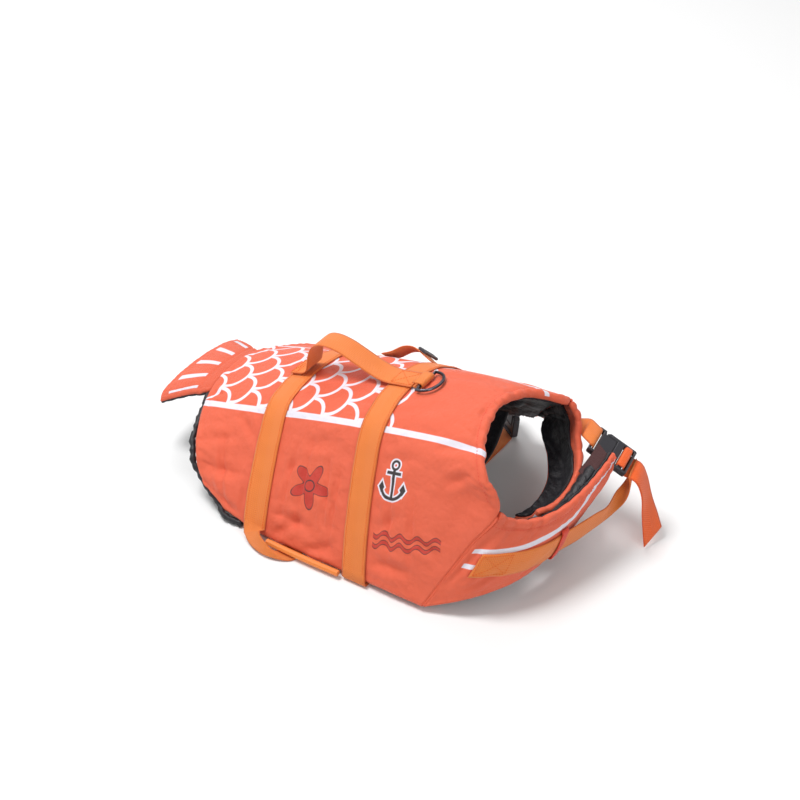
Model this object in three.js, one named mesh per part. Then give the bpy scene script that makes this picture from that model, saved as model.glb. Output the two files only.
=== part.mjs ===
// Dog life jacket, foam padded, standing empty on a table with both girth straps under it.
// Millimetres. X runs to the head, Y to the wearer's left (the far side), Z up, table at Z = 0.
// The origin is on the flat underside of the front belly strap, below the spine.
import * as THREE from 'three';

// driving sizes
const WEBBING_WIDTH = 25;
const WEBBING_THICKNESS = 1.3;
const SEAM_GAP = 0.3;
const BODY_PADDING = 8;
const ARM_PADDING = 6.4;
const LINING_THICKNESS = 1;
const TAIL_PADDING = 4.5;
const EDGE_ROLL_RADIUS = 3;
const BUCKLE_THICKNESS = 7;
const RING_WIRE_RADIUS = 1.5;

const COLOUR = {
  shell: 0xf17860,
  webbing: 0xf09650,
  lining: 0x1c1921,
  strip: 0x503234,
  plastic: 0x464248,
  metal: 0x55525a,
};

const group = new THREE.Group();
const point = (x, y, z) => new THREE.Vector3(x, y, z);
const mix = (a, b, t) => a.clone().lerp(b, t);

function curve(points) {
  return new THREE.CatmullRomCurve3(points, false, 'centripetal');
}

// ---- closed bodies from grids ----

function addSolid(name, corners, triangles, colour) {
  let volume = 0;
  for (const [a, b, c] of triangles) {
    const cross = new THREE.Vector3().crossVectors(corners[b], corners[c]);
    volume += corners[a].dot(cross);
  }
  const positions = [];
  for (const [a, b, c] of triangles) {
    const order = volume > 0 ? [a, b, c] : [a, c, b];
    for (const k of order) positions.push(corners[k].x, corners[k].y, corners[k].z);
  }
  const geometry = new THREE.BufferGeometry();
  geometry.setAttribute('position', new THREE.Float32BufferAttribute(positions, 3));
  geometry.computeVertexNormals();
  const material = new THREE.MeshStandardMaterial({ color: colour, roughness: 0.7 });
  const mesh = new THREE.Mesh(geometry, material);
  mesh.name = name;
  group.add(mesh);
  return mesh;
}

// two grids of one size, joined round the border; where the border is shared no wall is made
function slab(name, upper, lower, colour, sharedBorder = false) {
  const rows = upper.length;
  const columns = upper[0].length;
  const corners = [...upper.flat(), ...lower.flat()];
  const half = rows * columns;
  const isBorder = (i, j) => i === 0 || j === 0 || i === rows - 1 || j === columns - 1;
  const top = (i, j) => i * columns + j;
  const bottom = (i, j) => (sharedBorder && isBorder(i, j) ? 0 : half) + i * columns + j;
  const triangles = [];
  for (let i = 0; i < rows - 1; i += 1) {
    for (let j = 0; j < columns - 1; j += 1) {
      triangles.push([top(i, j), top(i + 1, j), top(i + 1, j + 1)]);
      triangles.push([top(i, j), top(i + 1, j + 1), top(i, j + 1)]);
      triangles.push([bottom(i, j), bottom(i + 1, j + 1), bottom(i + 1, j)]);
      triangles.push([bottom(i, j), bottom(i, j + 1), bottom(i + 1, j + 1)]);
    }
  }
  if (!sharedBorder) {
    const ring = [];
    for (let i = 0; i < rows - 1; i += 1) ring.push([i, 0]);
    for (let j = 0; j < columns - 1; j += 1) ring.push([rows - 1, j]);
    for (let i = rows - 1; i > 0; i -= 1) ring.push([i, columns - 1]);
    for (let j = columns - 1; j > 0; j -= 1) ring.push([0, j]);
    ring.forEach(([i, j], k) => {
      const [p, q] = ring[(k + 1) % ring.length];
      triangles.push([top(i, j), bottom(i, j), bottom(p, q)]);
      triangles.push([top(i, j), bottom(p, q), top(p, q)]);
    });
  }
  return addSolid(name, corners, triangles, colour);
}

function gridNormals(grid, outwardHint) {
  const rows = grid.length;
  const columns = grid[0].length;
  return grid.map((row, i) => row.map((_, j) => {
    const along = grid[Math.min(i + 1, rows - 1)][j].clone().sub(grid[Math.max(i - 1, 0)][j]);
    const across = grid[i][Math.min(j + 1, columns - 1)].clone().sub(grid[i][Math.max(j - 1, 0)]);
    const normal = new THREE.Vector3().crossVectors(along, across).normalize();
    return normal.multiplyScalar(outwardHint);
  }));
}

const moved = (grid, normals, by) => grid.map((row, i) => row.map((p, j) => {
  const step = typeof by === 'function' ? by(i, j) : by;
  return p.clone().addScaledVector(normals[i][j], step);
}));

// border lines of a padded panel: distance from the edge and share of the padding there
const ROLL = [
  { distance: 0, share: 0 },
  { distance: 0.14, share: 0.5 },
  { distance: 0.5, share: 0.87 },
  { distance: 1.1, share: 1 },
];

// the panel's outer face is the given grid; its edge is rolled over half the padding
function paddedPanel(name, grid, normals, padding, colour) {
  const rows = grid.length;
  const columns = grid[0].length;
  const share = (k, count) => ROLL[Math.min(k, count - 1 - k, ROLL.length - 1)].share;
  const half = (i, j) => (padding / 2) * Math.min(share(i, rows), share(j, columns));
  const outer = moved(grid, normals, (i, j) => -padding / 2 + half(i, j));
  const inner = moved(grid, normals, (i, j) => -padding / 2 - half(i, j));
  slab(name, outer, inner, colour, true);
  return { outer, inner };
}

function lining(name, grid, normals, padding, skip, colour) {
  const inside = (list) => list.slice(skip, list.length - skip);
  const face = inside(grid).map(inside);
  const out = inside(normals).map(inside);
  const upper = moved(face, out, -padding - SEAM_GAP);
  const lower = moved(face, out, -padding - SEAM_GAP - LINING_THICKNESS);
  slab(name, upper, lower, colour);
}

// positions between 0 and 1 with the border lines at both ends and the named lines between
function lines(length, rollSize, firstInner, lastInner, count) {
  const ends = ROLL.map((line) => (line.distance * rollSize) / length);
  const list = [...ends];
  for (let k = 1; k < count; k += 1) {
    list.push(firstInner + ((lastInner - firstInner) * k) / count);
  }
  ends.slice().reverse().forEach((d) => list.push(1 - d));
  return list;
}

// ---- body ----

// one row per line along the body, near bottom edge first; columns from the tail end to the neck
const BODY_ROWS = [
  { line: 'near edge', p: [[-178, -111.5, 23], [-146, -118.5, 11], [-111, -122, 4.8], [-55, -123.5, 4.8],
    [0, -124, 4.8], [38, -124.5, 4.8], [71.5, -124, 5]] },
  { line: 'near low', p: [[-189, -106, 34], [-151, -108.5, 32], [-116, -107, 30], [-60.5, -110, 32],
    [-5.5, -111, 35], [45, -113, 36], [86, -109, 36]] },
  { line: 'near middle', p: [[-199, -96, 47], [-159, -91.5, 51], [-121, -90, 53.5], [-66, -93.5, 60],
    [-11, -95.5, 64.5], [50, -99, 67], [101, -92, 68]] },
  { line: 'near high', p: [[-209, -79, 58.5], [-168, -73.5, 69], [-126, -71.5, 77], [-71.5, -75.5, 86],
    [-16.5, -78, 93], [50, -82, 99], [117, -74, 100]] },
  { line: 'near shoulder', p: [[-218, -57, 68.5], [-175, -52, 84], [-131, -50, 97.5], [-77, -54, 110],
    [-22, -57, 119.5], [42, -64, 125], [104, -73, 124.6]] },
  { line: 'near crown', p: [[-224.5, -30, 75], [-179, -26, 90.5], [-133, -26, 103.5], [-78.5, -28, 118.5],
    [-24.5, -29, 133], [29, -33, 142.5], [82, -39, 144.5]] },
  { line: 'spine', p: [[-227, 0, 77], [-180, 0, 92], [-133.5, 0, 105], [-79, 0, 121],
    [-25, 0, 136], [24, 0, 145], [73, 0, 149.5]] },
  { line: 'far crown', p: [[-224.5, 30, 75], [-179, 26, 90.5], [-133, 26, 103.5], [-78.5, 28, 118.5],
    [-24.5, 29, 133], [29, 33, 142.5], [82, 39, 144.5]] },
  { line: 'far shoulder', p: [[-218, 57, 68.5], [-175, 52, 84], [-131, 50, 97.5], [-77, 54, 110],
    [-22, 57, 119.5], [42, 64, 125], [104, 73, 124.6]] },
];
const FAR_EDGE = [[-180, 116, 44], [-144, 125, 34], [-111, 130, 29], [-52, 133, 32],
  [0, 135, 36], [22, 138.5, 39], [39, 141, 41]];
const FAR_BULGE = { height: 5, y: 0.72, z: 0.69 };
const STATIONS = FAR_EDGE.length - 1;
const REAR_STRAP_STATION = 2;
const FRONT_STRAP_STATION = 4;
const LAST_ROW = 12;

const bodyRows = BODY_ROWS.map((row) => row.p.map(([x, y, z]) => point(x, y, z)));
const farShoulder = bodyRows[8];
const farEdge = FAR_EDGE.map(([x, y, z]) => point(x, y, z));
for (let k = 1; k <= 3; k += 1) {
  const swell = FAR_BULGE.height * Math.sin((Math.PI * k) / 4);
  bodyRows.push(farShoulder.map((p, s) => {
    const q = mix(p, farEdge[s], k / 4);
    return q.add(point(0, FAR_BULGE.y * swell, FAR_BULGE.z * swell));
  }));
}
bodyRows.push(farEdge);

// stations along one row: border lines, both straps (three lines each) and the lines between
function stationsOfRow(row) {
  const step = (a, b) => row[a].distanceTo(row[b]) * STATIONS;
  const strap = (s) => [
    s / STATIONS - WEBBING_WIDTH / 2 / step(s - 1, s),
    s / STATIONS,
    s / STATIONS + WEBBING_WIDTH / 2 / step(s, s + 1),
  ];
  const rear = strap(REAR_STRAP_STATION);
  const front = strap(FRONT_STRAP_STATION);
  const roll = BODY_PADDING / 2;
  const start = ROLL.map((line) => (line.distance * roll) / step(0, 1));
  const end = ROLL.map((line) => 1 - (line.distance * roll) / step(STATIONS - 1, STATIONS)).reverse();
  const between = (a, b, count) => {
    const list = [];
    for (let k = 1; k <= count; k += 1) list.push(a + ((b - a) * k) / (count + 1));
    return list;
  };
  return [
    ...start, ...between(start[3], rear[0], 3), ...rear,
    ...between(rear[2], front[0], 3), ...front,
    ...between(front[2], end[0], 5), ...end,
  ];
}
const REAR_STRAP_LINES = [7, 8, 9];
const FRONT_STRAP_LINES = [13, 14, 15];

const bodyLines = bodyRows.map((row) => {
  const along = curve(row);
  return stationsOfRow(row).map((t) => along.getPoint(Math.min(1, Math.max(0, t))));
});

// lines across the body, as positions in the thirteen rows
function rowPositions(column) {
  const nearStep = column[0].distanceTo(column[1]);
  const farStep = column[LAST_ROW].distanceTo(column[LAST_ROW - 1]);
  const roll = BODY_PADDING / 2;
  const list = ROLL.map((line) => (line.distance * roll) / nearStep);
  for (let k = 2; k <= LAST_ROW * 3 - 2; k += 1) list.push(k / 3);
  ROLL.slice().reverse().forEach((line) => list.push(LAST_ROW - (line.distance * roll) / farStep));
  return list;
}

const bodyGrid = [];
for (let s = 0; s < bodyLines[0].length; s += 1) {
  const column = bodyLines.map((line) => line[s]);
  const across = curve(column);
  bodyGrid.push(rowPositions(column).map((r) => across.getPoint(r / LAST_ROW)));
}

// folds of the outer cloth: centre, half lengths along and across the crease, its turn, depth
const BODY_FOLDS = [
  { x: -80, y: -113, z: 26, long: 34, wide: 9, turn: 0.25, depth: 1.8 },
  { x: -40, y: -116, z: 20, long: 22, wide: 8, turn: -0.35, depth: 1.5 },
  { x: -168, y: -96, z: 42, long: 34, wide: 10, turn: 0.5, depth: 2 },
  { x: 42, y: -116, z: 26, long: 30, wide: 9, turn: -0.2, depth: 1.6 },
  { x: 86, y: -88, z: 86, long: 30, wide: 8, turn: 1.25, depth: 1.8 },
  { x: -95, y: 108, z: 62, long: 34, wide: 10, turn: -0.25, depth: 1.8 },
  { x: 30, y: 112, z: 72, long: 28, wide: 9, turn: 0.4, depth: 1.6 },
];

function foldDepth(p, strapLine) {
  if (strapLine) return 0;
  let depth = 0;
  for (const fold of BODY_FOLDS) {
    const dx = p.x - fold.x;
    const slope = Math.hypot(p.y - fold.y, p.z - fold.z) * Math.sign(p.z - fold.z);
    const along = dx * Math.cos(fold.turn) + slope * Math.sin(fold.turn);
    const aside = -dx * Math.sin(fold.turn) + slope * Math.cos(fold.turn);
    const sameSide = Math.sign(fold.y) === Math.sign(p.y) ? 1 : 0;
    const reach = (along / fold.long) ** 2 + (aside / fold.wide) ** 2;
    depth += sameSide * fold.depth * Math.exp(-reach);
  }
  return depth;
}

const strapLines = new Set([...REAR_STRAP_LINES, ...FRONT_STRAP_LINES]);
const flatNormals = gridNormals(bodyGrid, 1);
const crown = flatNormals[10][Math.floor(flatNormals[0].length / 2)];
const bodyOutward = crown.z > 0 ? 1 : -1;
const smoothNormals = gridNormals(bodyGrid, bodyOutward);
const foldedGrid = moved(bodyGrid, smoothNormals, (i, j) => -foldDepth(bodyGrid[i][j], strapLines.has(i)));
const bodyNormals = gridNormals(foldedGrid, bodyOutward);
const body = paddedPanel('body_shell', foldedGrid, bodyNormals, BODY_PADDING, COLOUR.shell);
lining('body_lining', foldedGrid, bodyNormals, BODY_PADDING, 3, COLOUR.lining);

// ---- chest arms ----

// columns from the hinge to the free end; low and high are the arm's two edges;
// the swell is towards the arm's right-hand side as it runs from the hinge, so a minus sign swells the left arm outward
const NEAR_ARM = [
  { low: [71.8, -124, 5], high: [117.5, -73.5, 100.5], swell: 0 },
  { low: [103, -108, 15.5], high: [124, -65, 90], swell: 5 },
  { low: [119, -90, 18], high: [132, -54, 83], swell: 6 },
  { low: [132, -67, 20], high: [140, -39, 78.5], swell: 6 },
  { low: [139.5, -36, 21], high: [148, -20, 76.5], swell: 5 },
  { low: [142, -4, 24], high: [154, 2, 77.5], swell: 4 },
  { low: [152, 27, 49], high: [158, 26, 83], swell: 2 },
  { low: [157, 45, 63], high: [160, 46, 89], swell: 1 },
  { low: [159.5, 58, 77], high: [160.5, 60, 93], swell: 0 },
];
const FAR_ARM = [
  { low: [39.3, 141.2, 41], high: [104.5, 73.6, 124.3], swell: 0 },
  { low: [59, 119, 51], high: [115.5, 75, 107], swell: 1 },
  { low: [71, 88, 62], high: [122.6, 66, 90.5], swell: -3 },
  { low: [90.5, 63, 57], high: [131, 54, 83], swell: -7 },
  { low: [104, 38, 51], high: [138, 39, 78], swell: -10 },
  { low: [110, 12, 51], high: [141, 16, 72], swell: -10 },
  { low: [111, -10, 50], high: [139, -8, 70], swell: -8 },
  { low: [107, -28, 50], high: [131, -26, 70], swell: -5 },
];

function armGrid(table, padding, alongCount, acrossCount) {
  const low = curve(table.map((row) => point(...row.low)));
  const high = curve(table.map((row) => point(...row.high)));
  const roll = padding / 2;
  const length = (low.getLength() + high.getLength()) / 2;
  const us = lines(length, roll, 0, 1, alongCount);
  return us.map((u) => {
    const a = low.getPoint(u);
    const b = high.getPoint(u);
    const along = low.getTangent(u).add(high.getTangent(u));
    const outward = new THREE.Vector3().crossVectors(along, b.clone().sub(a)).normalize();
    const place = u * (table.length - 1);
    const k = Math.min(table.length - 2, Math.floor(place));
    const swell = table[k].swell + (table[k + 1].swell - table[k].swell) * (place - k);
    const vs = lines(a.distanceTo(b), roll, 0, 1, acrossCount);
    return vs.map((v) => mix(a, b, v).addScaledVector(outward, swell * Math.sin(Math.PI * v)));
  });
}

// the hinge seam: the body's front edge line, moved forward by the seam
const HINGE_SEAM = { near: 2.2, far: 2.6 };
const HINGE_FADE = 0.3;

function hingeCurve(firstRow, lastRow, seam) {
  const last = body.outer.length - 1;
  const positions = rowPositions(bodyLines.map((line) => line[last]));
  const from = Math.min(firstRow, lastRow);
  const to = Math.max(firstRow, lastRow);
  const points = [];
  positions.forEach((r, j) => {
    if (r < from || r > to) return;
    const edge = body.outer[last][j];
    const forward = edge.clone().sub(body.outer[last - 4][j]).normalize();
    points.push(edge.clone().addScaledVector(forward, seam));
  });
  if (firstRow > lastRow) points.reverse();
  return curve(points);
}

function arm(side, table, outwardHint, hinge) {
  const grid = armGrid(table, ARM_PADDING, 14, 5);
  const middle = gridNormals(grid, 1)[9][5];
  const sign = middle.x * outwardHint[0] + middle.y * outwardHint[1] > 0 ? 1 : -1;
  const core = moved(grid, gridNormals(grid, sign), -ARM_PADDING / 2);
  const across = lines(hinge.getLength(), ARM_PADDING / 2, 0, 1, 5);
  const shift = core[0].map((p, j) => hinge.getPointAt(across[j]).sub(p));
  const along = lines(1, 0.017, 0, 1, 14);
  const fitted = core.map((row, i) => row.map((p, j) => {
    const fade = Math.max(0, 1 - along[i] / HINGE_FADE) ** 2;
    return p.clone().addScaledVector(shift[j], fade);
  }));
  const normals = gridNormals(fitted, sign);
  const face = moved(fitted, normals, ARM_PADDING / 2);
  paddedPanel(`chest_arm_${side}`, face, normals, ARM_PADDING, COLOUR.shell);
  lining(`chest_arm_${side}_lining`, face, normals, ARM_PADDING, 3, COLOUR.lining);
  return { grid: face, normals };
}
const nearArm = arm('right', NEAR_ARM, [0.9, -0.4], hingeCurve(0, 3, HINGE_SEAM.near));
const farArm = arm('left', FAR_ARM, [0.9, 0.4], hingeCurve(LAST_ROW, 8, HINGE_SEAM.far));

// ---- tail ----

const TAIL = { baseHalf: 39, tipHalf: 62, lines: 8, across: 12, creaseAt: 0.24, creaseDepth: 1.2 };
const TAIL_EDGE = [
  { side: -1, p: [-268, -62, 55.5] },
  { side: -0.8, p: [-273.5, -52, 56.5] },
  { side: -0.4, p: [-276.5, -27, 59] },
  { side: 0, p: [-277, 0, 60] },
  { side: 0.4, p: [-276.5, 27, 59] },
  { side: 0.8, p: [-273.5, 52, 56.5] },
  { side: 1, p: [-268, 62, 55.5] },
];
const tailTrail = curve(TAIL_EDGE.map((row) => point(...row.p)));
const tailBase = curve([
  point(-222.7, -39, 71.4), point(-225.7, -20, 73.6), point(-226.4, 0, 74.2),
  point(-225.7, 20, 73.6), point(-222.7, 39, 71.4),
]);
const tailGrid = lines(50, TAIL_PADDING / 2, 0, 1, TAIL.lines).map((u) => {
  const crease = TAIL.creaseDepth * Math.exp(-(((u - TAIL.creaseAt) / 0.07) ** 2));
  return lines(100, TAIL_PADDING / 2, 0, 1, TAIL.across).map((w) => {
    const base = tailBase.getPoint(w);
    const tip = tailTrail.getPoint(w);
    const q = mix(base, tip, u);
    q.z += 2 * Math.sin(Math.PI * u) - crease;
    return q;
  });
});
const tailNormals = gridNormals(tailGrid, gridNormals(tailGrid, 1)[6][8].z > 0 ? 1 : -1);
paddedPanel('tail_fin', tailGrid, tailNormals, TAIL_PADDING, COLOUR.shell);
lining('tail_underside', tailGrid, tailNormals, TAIL_PADDING, 2, COLOUR.lining);

// ---- webbing ----

// rows of three points across the webbing, with the outward normal at each
function ribbon(name, rows, colour = COLOUR.webbing, thickness = WEBBING_THICKNESS) {
  const half = thickness / 2;
  const onTable = (p) => point(p.x, p.y, Math.max(p.z, 0));
  const upper = rows.map((row) => row.map(({ p, n }) => onTable(p.clone().addScaledVector(n, half))));
  const lower = rows.map((row) => row.map(({ p, n }) => onTable(p.clone().addScaledVector(n, -half))));
  return slab(name, upper, lower, colour);
}

// free webbing from a table of its two edges, smoothed, with normals square to both directions
function edgesToRows(table, count, across = 2) {
  const left = curve(table.map((row) => point(...row.left)));
  const right = curve(table.map((row) => point(...row.right)));
  const rows = [];
  for (let k = 0; k <= count; k += 1) {
    const t = k / count;
    const a = left.getPoint(t);
    const b = right.getPoint(t);
    const along = left.getTangent(t).add(right.getTangent(t)).normalize();
    const n = new THREE.Vector3().crossVectors(along, b.clone().sub(a)).normalize();
    const row = [];
    for (let j = 0; j <= across; j += 1) row.push({ p: mix(a, b, j / across), n });
    rows.push(row);
  }
  return rows;
}

// the part of a girth strap that lies on the body, made from the body's own points
function strapOnBody(stripLines, lift = SEAM_GAP + 0.15) {
  const rows = [];
  const columns = foldedGrid[0].length;
  const rise = lift + WEBBING_THICKNESS / 2;
  for (let j = 3; j < columns - 3; j += 1) {
    rows.push(stripLines.map((i) => ({
      p: foldedGrid[i][j].clone().addScaledVector(bodyNormals[i][j], rise),
      n: bodyNormals[i][j],
    })));
  }
  return rows;
}

// rows below the near edge and along the table: centre x, y, z, half width, normal angle from -Y
function tableRow(x, y, z, turn, lean = 0) {
  const n = point(0, -Math.cos(turn), -Math.sin(turn));
  const half = WEBBING_WIDTH / 2 / Math.hypot(1, lean);
  return [-half, 0, half].map((dx) => ({ p: point(x + dx, y + dx * lean, z), n: n.clone() }));
}

const strapEnd = ({ x, y, z, widthX, widthY, n }) => [-1, 0, 1].map((side) => ({
  p: point(x + side * widthX, y + side * widthY, z), n: point(...n).normalize(),
}));
const LOW = WEBBING_THICKNESS / 2;
const FRONT_UNDER = [
  { x: 2, y: -126.2, z: 4.2, turn: 0.25 },
  { x: 2, y: -124.6, z: 1.6, turn: 0.9 },
  { x: 1.5, y: -121, z: LOW, turn: Math.PI / 2 },
  { x: 0, y: -80, z: LOW, turn: Math.PI / 2 },
  { x: 0, y: 0, z: LOW, turn: Math.PI / 2 },
  { x: 0, y: 62, z: LOW, turn: Math.PI / 2 },
  { x: 0, y: 100, z: LOW, turn: Math.PI / 2 },
  { x: 1, y: 120, z: LOW, turn: Math.PI / 2, lean: -0.3 },
  { x: 2, y: 141, z: LOW, turn: Math.PI / 2, lean: -0.66 },
];
const frontUpper = strapOnBody(FRONT_STRAP_LINES);
const frontRows = [
  ...FRONT_UNDER.slice().reverse().map((r) => tableRow(r.x, r.y, r.z, r.turn, r.lean)),
  ...frontUpper,
  strapEnd({ x: 4.6, y: 143.4, z: 37.4, widthX: 10.4, widthY: -5, n: [0, 0.8, 0.6] }),
];
ribbon('girth_strap_front', frontRows);

// the rear strap bows out on the table before it goes under
const REAR_BOW = [
  { left: [-120.5, 109.6, 5.6], right: [-95.5, 109.6, 5.6] },
  { left: [-120, 98, 1.6], right: [-95, 98, 1.6] },
  { left: [-118, 82, LOW], right: [-93, 82, LOW] },
  { left: [-113, 40, LOW], right: [-88, 40, LOW] },
  { left: [-100, -20, LOW], right: [-75, -20, LOW] },
  { left: [-87, -80, LOW], right: [-62, -79, LOW] },
  { left: [-83, -114, LOW], right: [-60, -118, LOW] },
  { left: [-80, -127, LOW], right: [-61.5, -131, LOW] },
  { left: [-82, -133.5, 5], right: [-71, -138, 2] },
  { left: [-89, -134.5, 11], right: [-87, -141, 2.4] },
  { left: [-97, -131.5, 13.5], right: [-106, -136, 2.6] },
  { left: [-100.5, -128, 15], right: [-118, -129, 6] },
];
const BOW_STEPS = 30;
const rearUpper = strapOnBody(REAR_STRAP_LINES);
const rearBow = edgesToRows(REAR_BOW, BOW_STEPS);
const towards = rearUpper[0][1].n;
rearBow.forEach((row) => row.reverse());
if (rearBow[BOW_STEPS][1].n.dot(towards) < 0) rearBow.forEach((row) => row.forEach((c) => c.n.negate()));
const rearTail = strapEnd({ x: -109.5, y: 140.2, z: 29.9, widthX: 12.5, widthY: 0, n: [0, 0.5, 0.85] });
ribbon('girth_strap_rear', [...rearBow, ...rearUpper, rearTail]);

// ---- belly ----

const BAND = { thickness: 1, lift: 1.6, rear: -124, front: 15 };
// its section at the rear edge, and how much farther out and higher it lies at the front edge
const BAND_SECTION = [
  { y: -112, z: 0, out: 0, up: 0 }, { y: -60, z: 0, out: 0, up: 0 }, { y: 0, z: 0, out: 0, up: 0 },
  { y: 60, z: 0, out: 0, up: 0 }, { y: 78, z: 3, out: 0, up: 0 }, { y: 99, z: 12, out: 0, up: 0 },
  { y: 111, z: 18, out: 1.5, up: 1.5 }, { y: 117, z: 20.5, out: 4, up: 5.5 },
];
const bandFace = (rise) => [0, 0.25, 0.5, 0.75, 1].map((u) => BAND_SECTION.map((row) => point(
  BAND.rear + (BAND.front - BAND.rear) * u,
  row.y + row.out * u,
  BAND.lift + row.z + row.up * u + rise,
)));
slab('belly_band', bandFace(BAND.thickness), bandFace(0), COLOUR.lining);

// ---- wires and rolled edging ----

// a round section swept along points, closed on itself or capped at both ends
function sweep(name, points, planeNormal, radius, sides, closed, colour) {
  const count = points.length;
  const corners = [];
  points.forEach((p, k) => {
    const before = points[closed ? (k + count - 1) % count : Math.max(k - 1, 0)];
    const after = points[closed ? (k + 1) % count : Math.min(k + 1, count - 1)];
    const aside = new THREE.Vector3().crossVectors(after.clone().sub(before), planeNormal).normalize();
    for (let q = 0; q < sides; q += 1) {
      const angle = (2 * Math.PI * q) / sides;
      corners.push(p.clone()
        .addScaledVector(aside, radius * Math.cos(angle))
        .addScaledVector(planeNormal, radius * Math.sin(angle)));
    }
  });
  const triangles = [];
  for (let k = 0; k < (closed ? count : count - 1); k += 1) {
    for (let q = 0; q < sides; q += 1) {
      const a = k * sides + q;
      const b = k * sides + ((q + 1) % sides);
      const c = ((k + 1) % count) * sides + q;
      const d = ((k + 1) % count) * sides + ((q + 1) % sides);
      triangles.push([a, b, d], [a, d, c]);
    }
  }
  if (!closed) {
    for (let q = 1; q < sides - 1; q += 1) {
      triangles.push([0, q + 1, q]);
      const last = (count - 1) * sides;
      triangles.push([last, last + q, last + q + 1]);
    }
  }
  return addSolid(name, corners, triangles, colour);
}

const edgeRoll = [];
for (let k = 0; k <= 12; k += 1) {
  const x = -93 + (79 * k) / 12;
  edgeRoll.push(point(x, -127.2 - 0.6 * Math.sin((Math.PI * k) / 12), EDGE_ROLL_RADIUS + 2.2));
}
sweep('edge_roll_right', edgeRoll, point(0, 0, 1), EDGE_ROLL_RADIUS, 8, false, COLOUR.webbing);

// ---- handle ----

const HANDLE = [
  { x: -12, z: 141.9 }, { x: -25, z: 139.2 }, { x: -37, z: 136.8 }, { x: -46, z: 136.8 },
  { x: -56, z: 138.6 }, { x: -74, z: 144.2 }, { x: -90, z: 149 }, { x: -104, z: 150.3 },
  { x: -114, z: 148 }, { x: -121, z: 142 }, { x: -124.8, z: 132 }, { x: -126.4, z: 121 },
  { x: -128.3, z: 113.6 }, { x: -133, z: 109.6 }, { x: -139, z: 107.6 }, { x: -145.5, z: 105.6 },
];
ribbon('handle', edgesToRows(HANDLE.map(({ x, z }) => ({
  left: [x, -WEBBING_WIDTH / 2, z], right: [x, WEBBING_WIDTH / 2, z],
})), 34));

// ---- leash ring and its tab ----

const RING = { x: -3.5, z: 144.6, halfWidth: 16.5, reach: 15, slope: 0.19 };
const ringPoints = [];
for (let k = 0; k <= 14; k += 1) {
  const angle = (Math.PI * k) / 14;
  const x = RING.x + RING.reach * Math.sin(angle) ** 0.8;
  ringPoints.push(point(x, RING.halfWidth * Math.cos(angle), RING.z + RING.slope * (x - RING.x)));
}
for (let k = 1; k <= 4; k += 1) {
  ringPoints.push(point(RING.x - 0.4, -RING.halfWidth * (1 - (2 * k) / 5), RING.z));
}
const ringNormal = point(-RING.slope, 0, 1).normalize();
sweep('leash_ring', ringPoints, ringNormal, RING_WIRE_RADIUS, 8, true, COLOUR.metal);

const TAB_WRAP = RING_WIRE_RADIUS + SEAM_GAP + WEBBING_THICKNESS / 2 + 0.1;
const tabPath = [{ x: -11.4, z: RING.z - TAB_WRAP - 1.2 }];
for (let k = 0; k <= 8; k += 1) {
  const angle = -Math.PI / 2 + (Math.PI * k) / 8;
  tabPath.push({
    x: RING.x - 0.4 + TAB_WRAP * Math.cos(angle), z: RING.z + TAB_WRAP * Math.sin(angle),
  });
}
tabPath.push({ x: -11.4, z: RING.z + TAB_WRAP - 1.2 });
ribbon('ring_tab', edgesToRows(tabPath.map(({ x, z }) => ({
  left: [x, -10, z], right: [x, 10, z],
})), 18));

// ---- adjuster loop standing on the far side ----

const LOOP = [
  { x: -90, z: 98.6, h: 1.6 }, { x: -80, z: 101.6, h: 4.5 }, { x: -70, z: 103.8, h: 11 },
  { x: -60, z: 105.6, h: 12.5 }, { x: -50, z: 107.5, h: 9 }, { x: -43, z: 108.9, h: 5.5 },
  { x: -36, z: 110.1, h: 2.4 },
];
const loopPoint = ({ x, z, h }, side) => [x, 65 + 0.69 * h + 9 * side, z + 0.72 * h - 8.6 * side];
const loopRows = edgesToRows(LOOP.map((row) => ({
  left: loopPoint(row, -1), right: loopPoint(row, 1),
})), 16);
ribbon('adjuster_loop', loopRows);

// ---- moulded pieces ----

// an outline with holes, given thickness and stood on three axes
function moulded(name, outline, holes, thickness, frame, colour = COLOUR.plastic) {
  const shape = new THREE.Shape(outline.map(([x, y]) => new THREE.Vector2(x, y)));
  for (const hole of holes) {
    shape.holes.push(new THREE.Path(hole.map(([x, y]) => new THREE.Vector2(x, y))));
  }
  const bevel = 0.8;
  const geometry = new THREE.ExtrudeGeometry(shape, {
    depth: thickness - 2 * bevel, bevelEnabled: true, bevelThickness: bevel, bevelSize: bevel,
    bevelOffset: -bevel, bevelSegments: 1, curveSegments: 6,
  });
  geometry.translate(0, 0, bevel - thickness / 2);
  const mesh = new THREE.Mesh(geometry, new THREE.MeshStandardMaterial({ color: colour, roughness: 0.45 }));
  mesh.name = name;
  mesh.applyMatrix4(frame);
  group.add(mesh);
}

function frameFrom(origin, alongDirection, widthDirection) {
  const along = alongDirection.clone().normalize();
  const width = widthDirection.clone().addScaledVector(along, -widthDirection.dot(along)).normalize();
  const out = new THREE.Vector3().crossVectors(width, along);
  return new THREE.Matrix4().makeBasis(width, along, out).setPosition(origin);
}

// measured across the webbing and along it, from the face where both halves meet
const slot = (from, to) => [[-12.9, from], [12.9, from], [12.9, to], [-12.9, to]];
const SOCKET_OUTLINE = [[-14.4, 21], [14.4, 21], [15.4, 19.6], [15.4, 13.4], [11.2, 12], [11.2, 0.3],
  [-11.2, 0.3], [-11.2, 12], [-15.4, 13.4], [-15.4, 19.6]];
const plugOutline = (length) => [[-14.4, -length], [14.4, -length], [15.4, 1.4 - length], [15.4, 8.6],
  [13.4, 11.4], [11.8, 10.6], [11.8, 0], [-11.8, 0], [-11.8, 10.6], [-13.4, 11.4], [-15.4, 8.6],
  [-15.4, 1.4 - length]];

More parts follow.
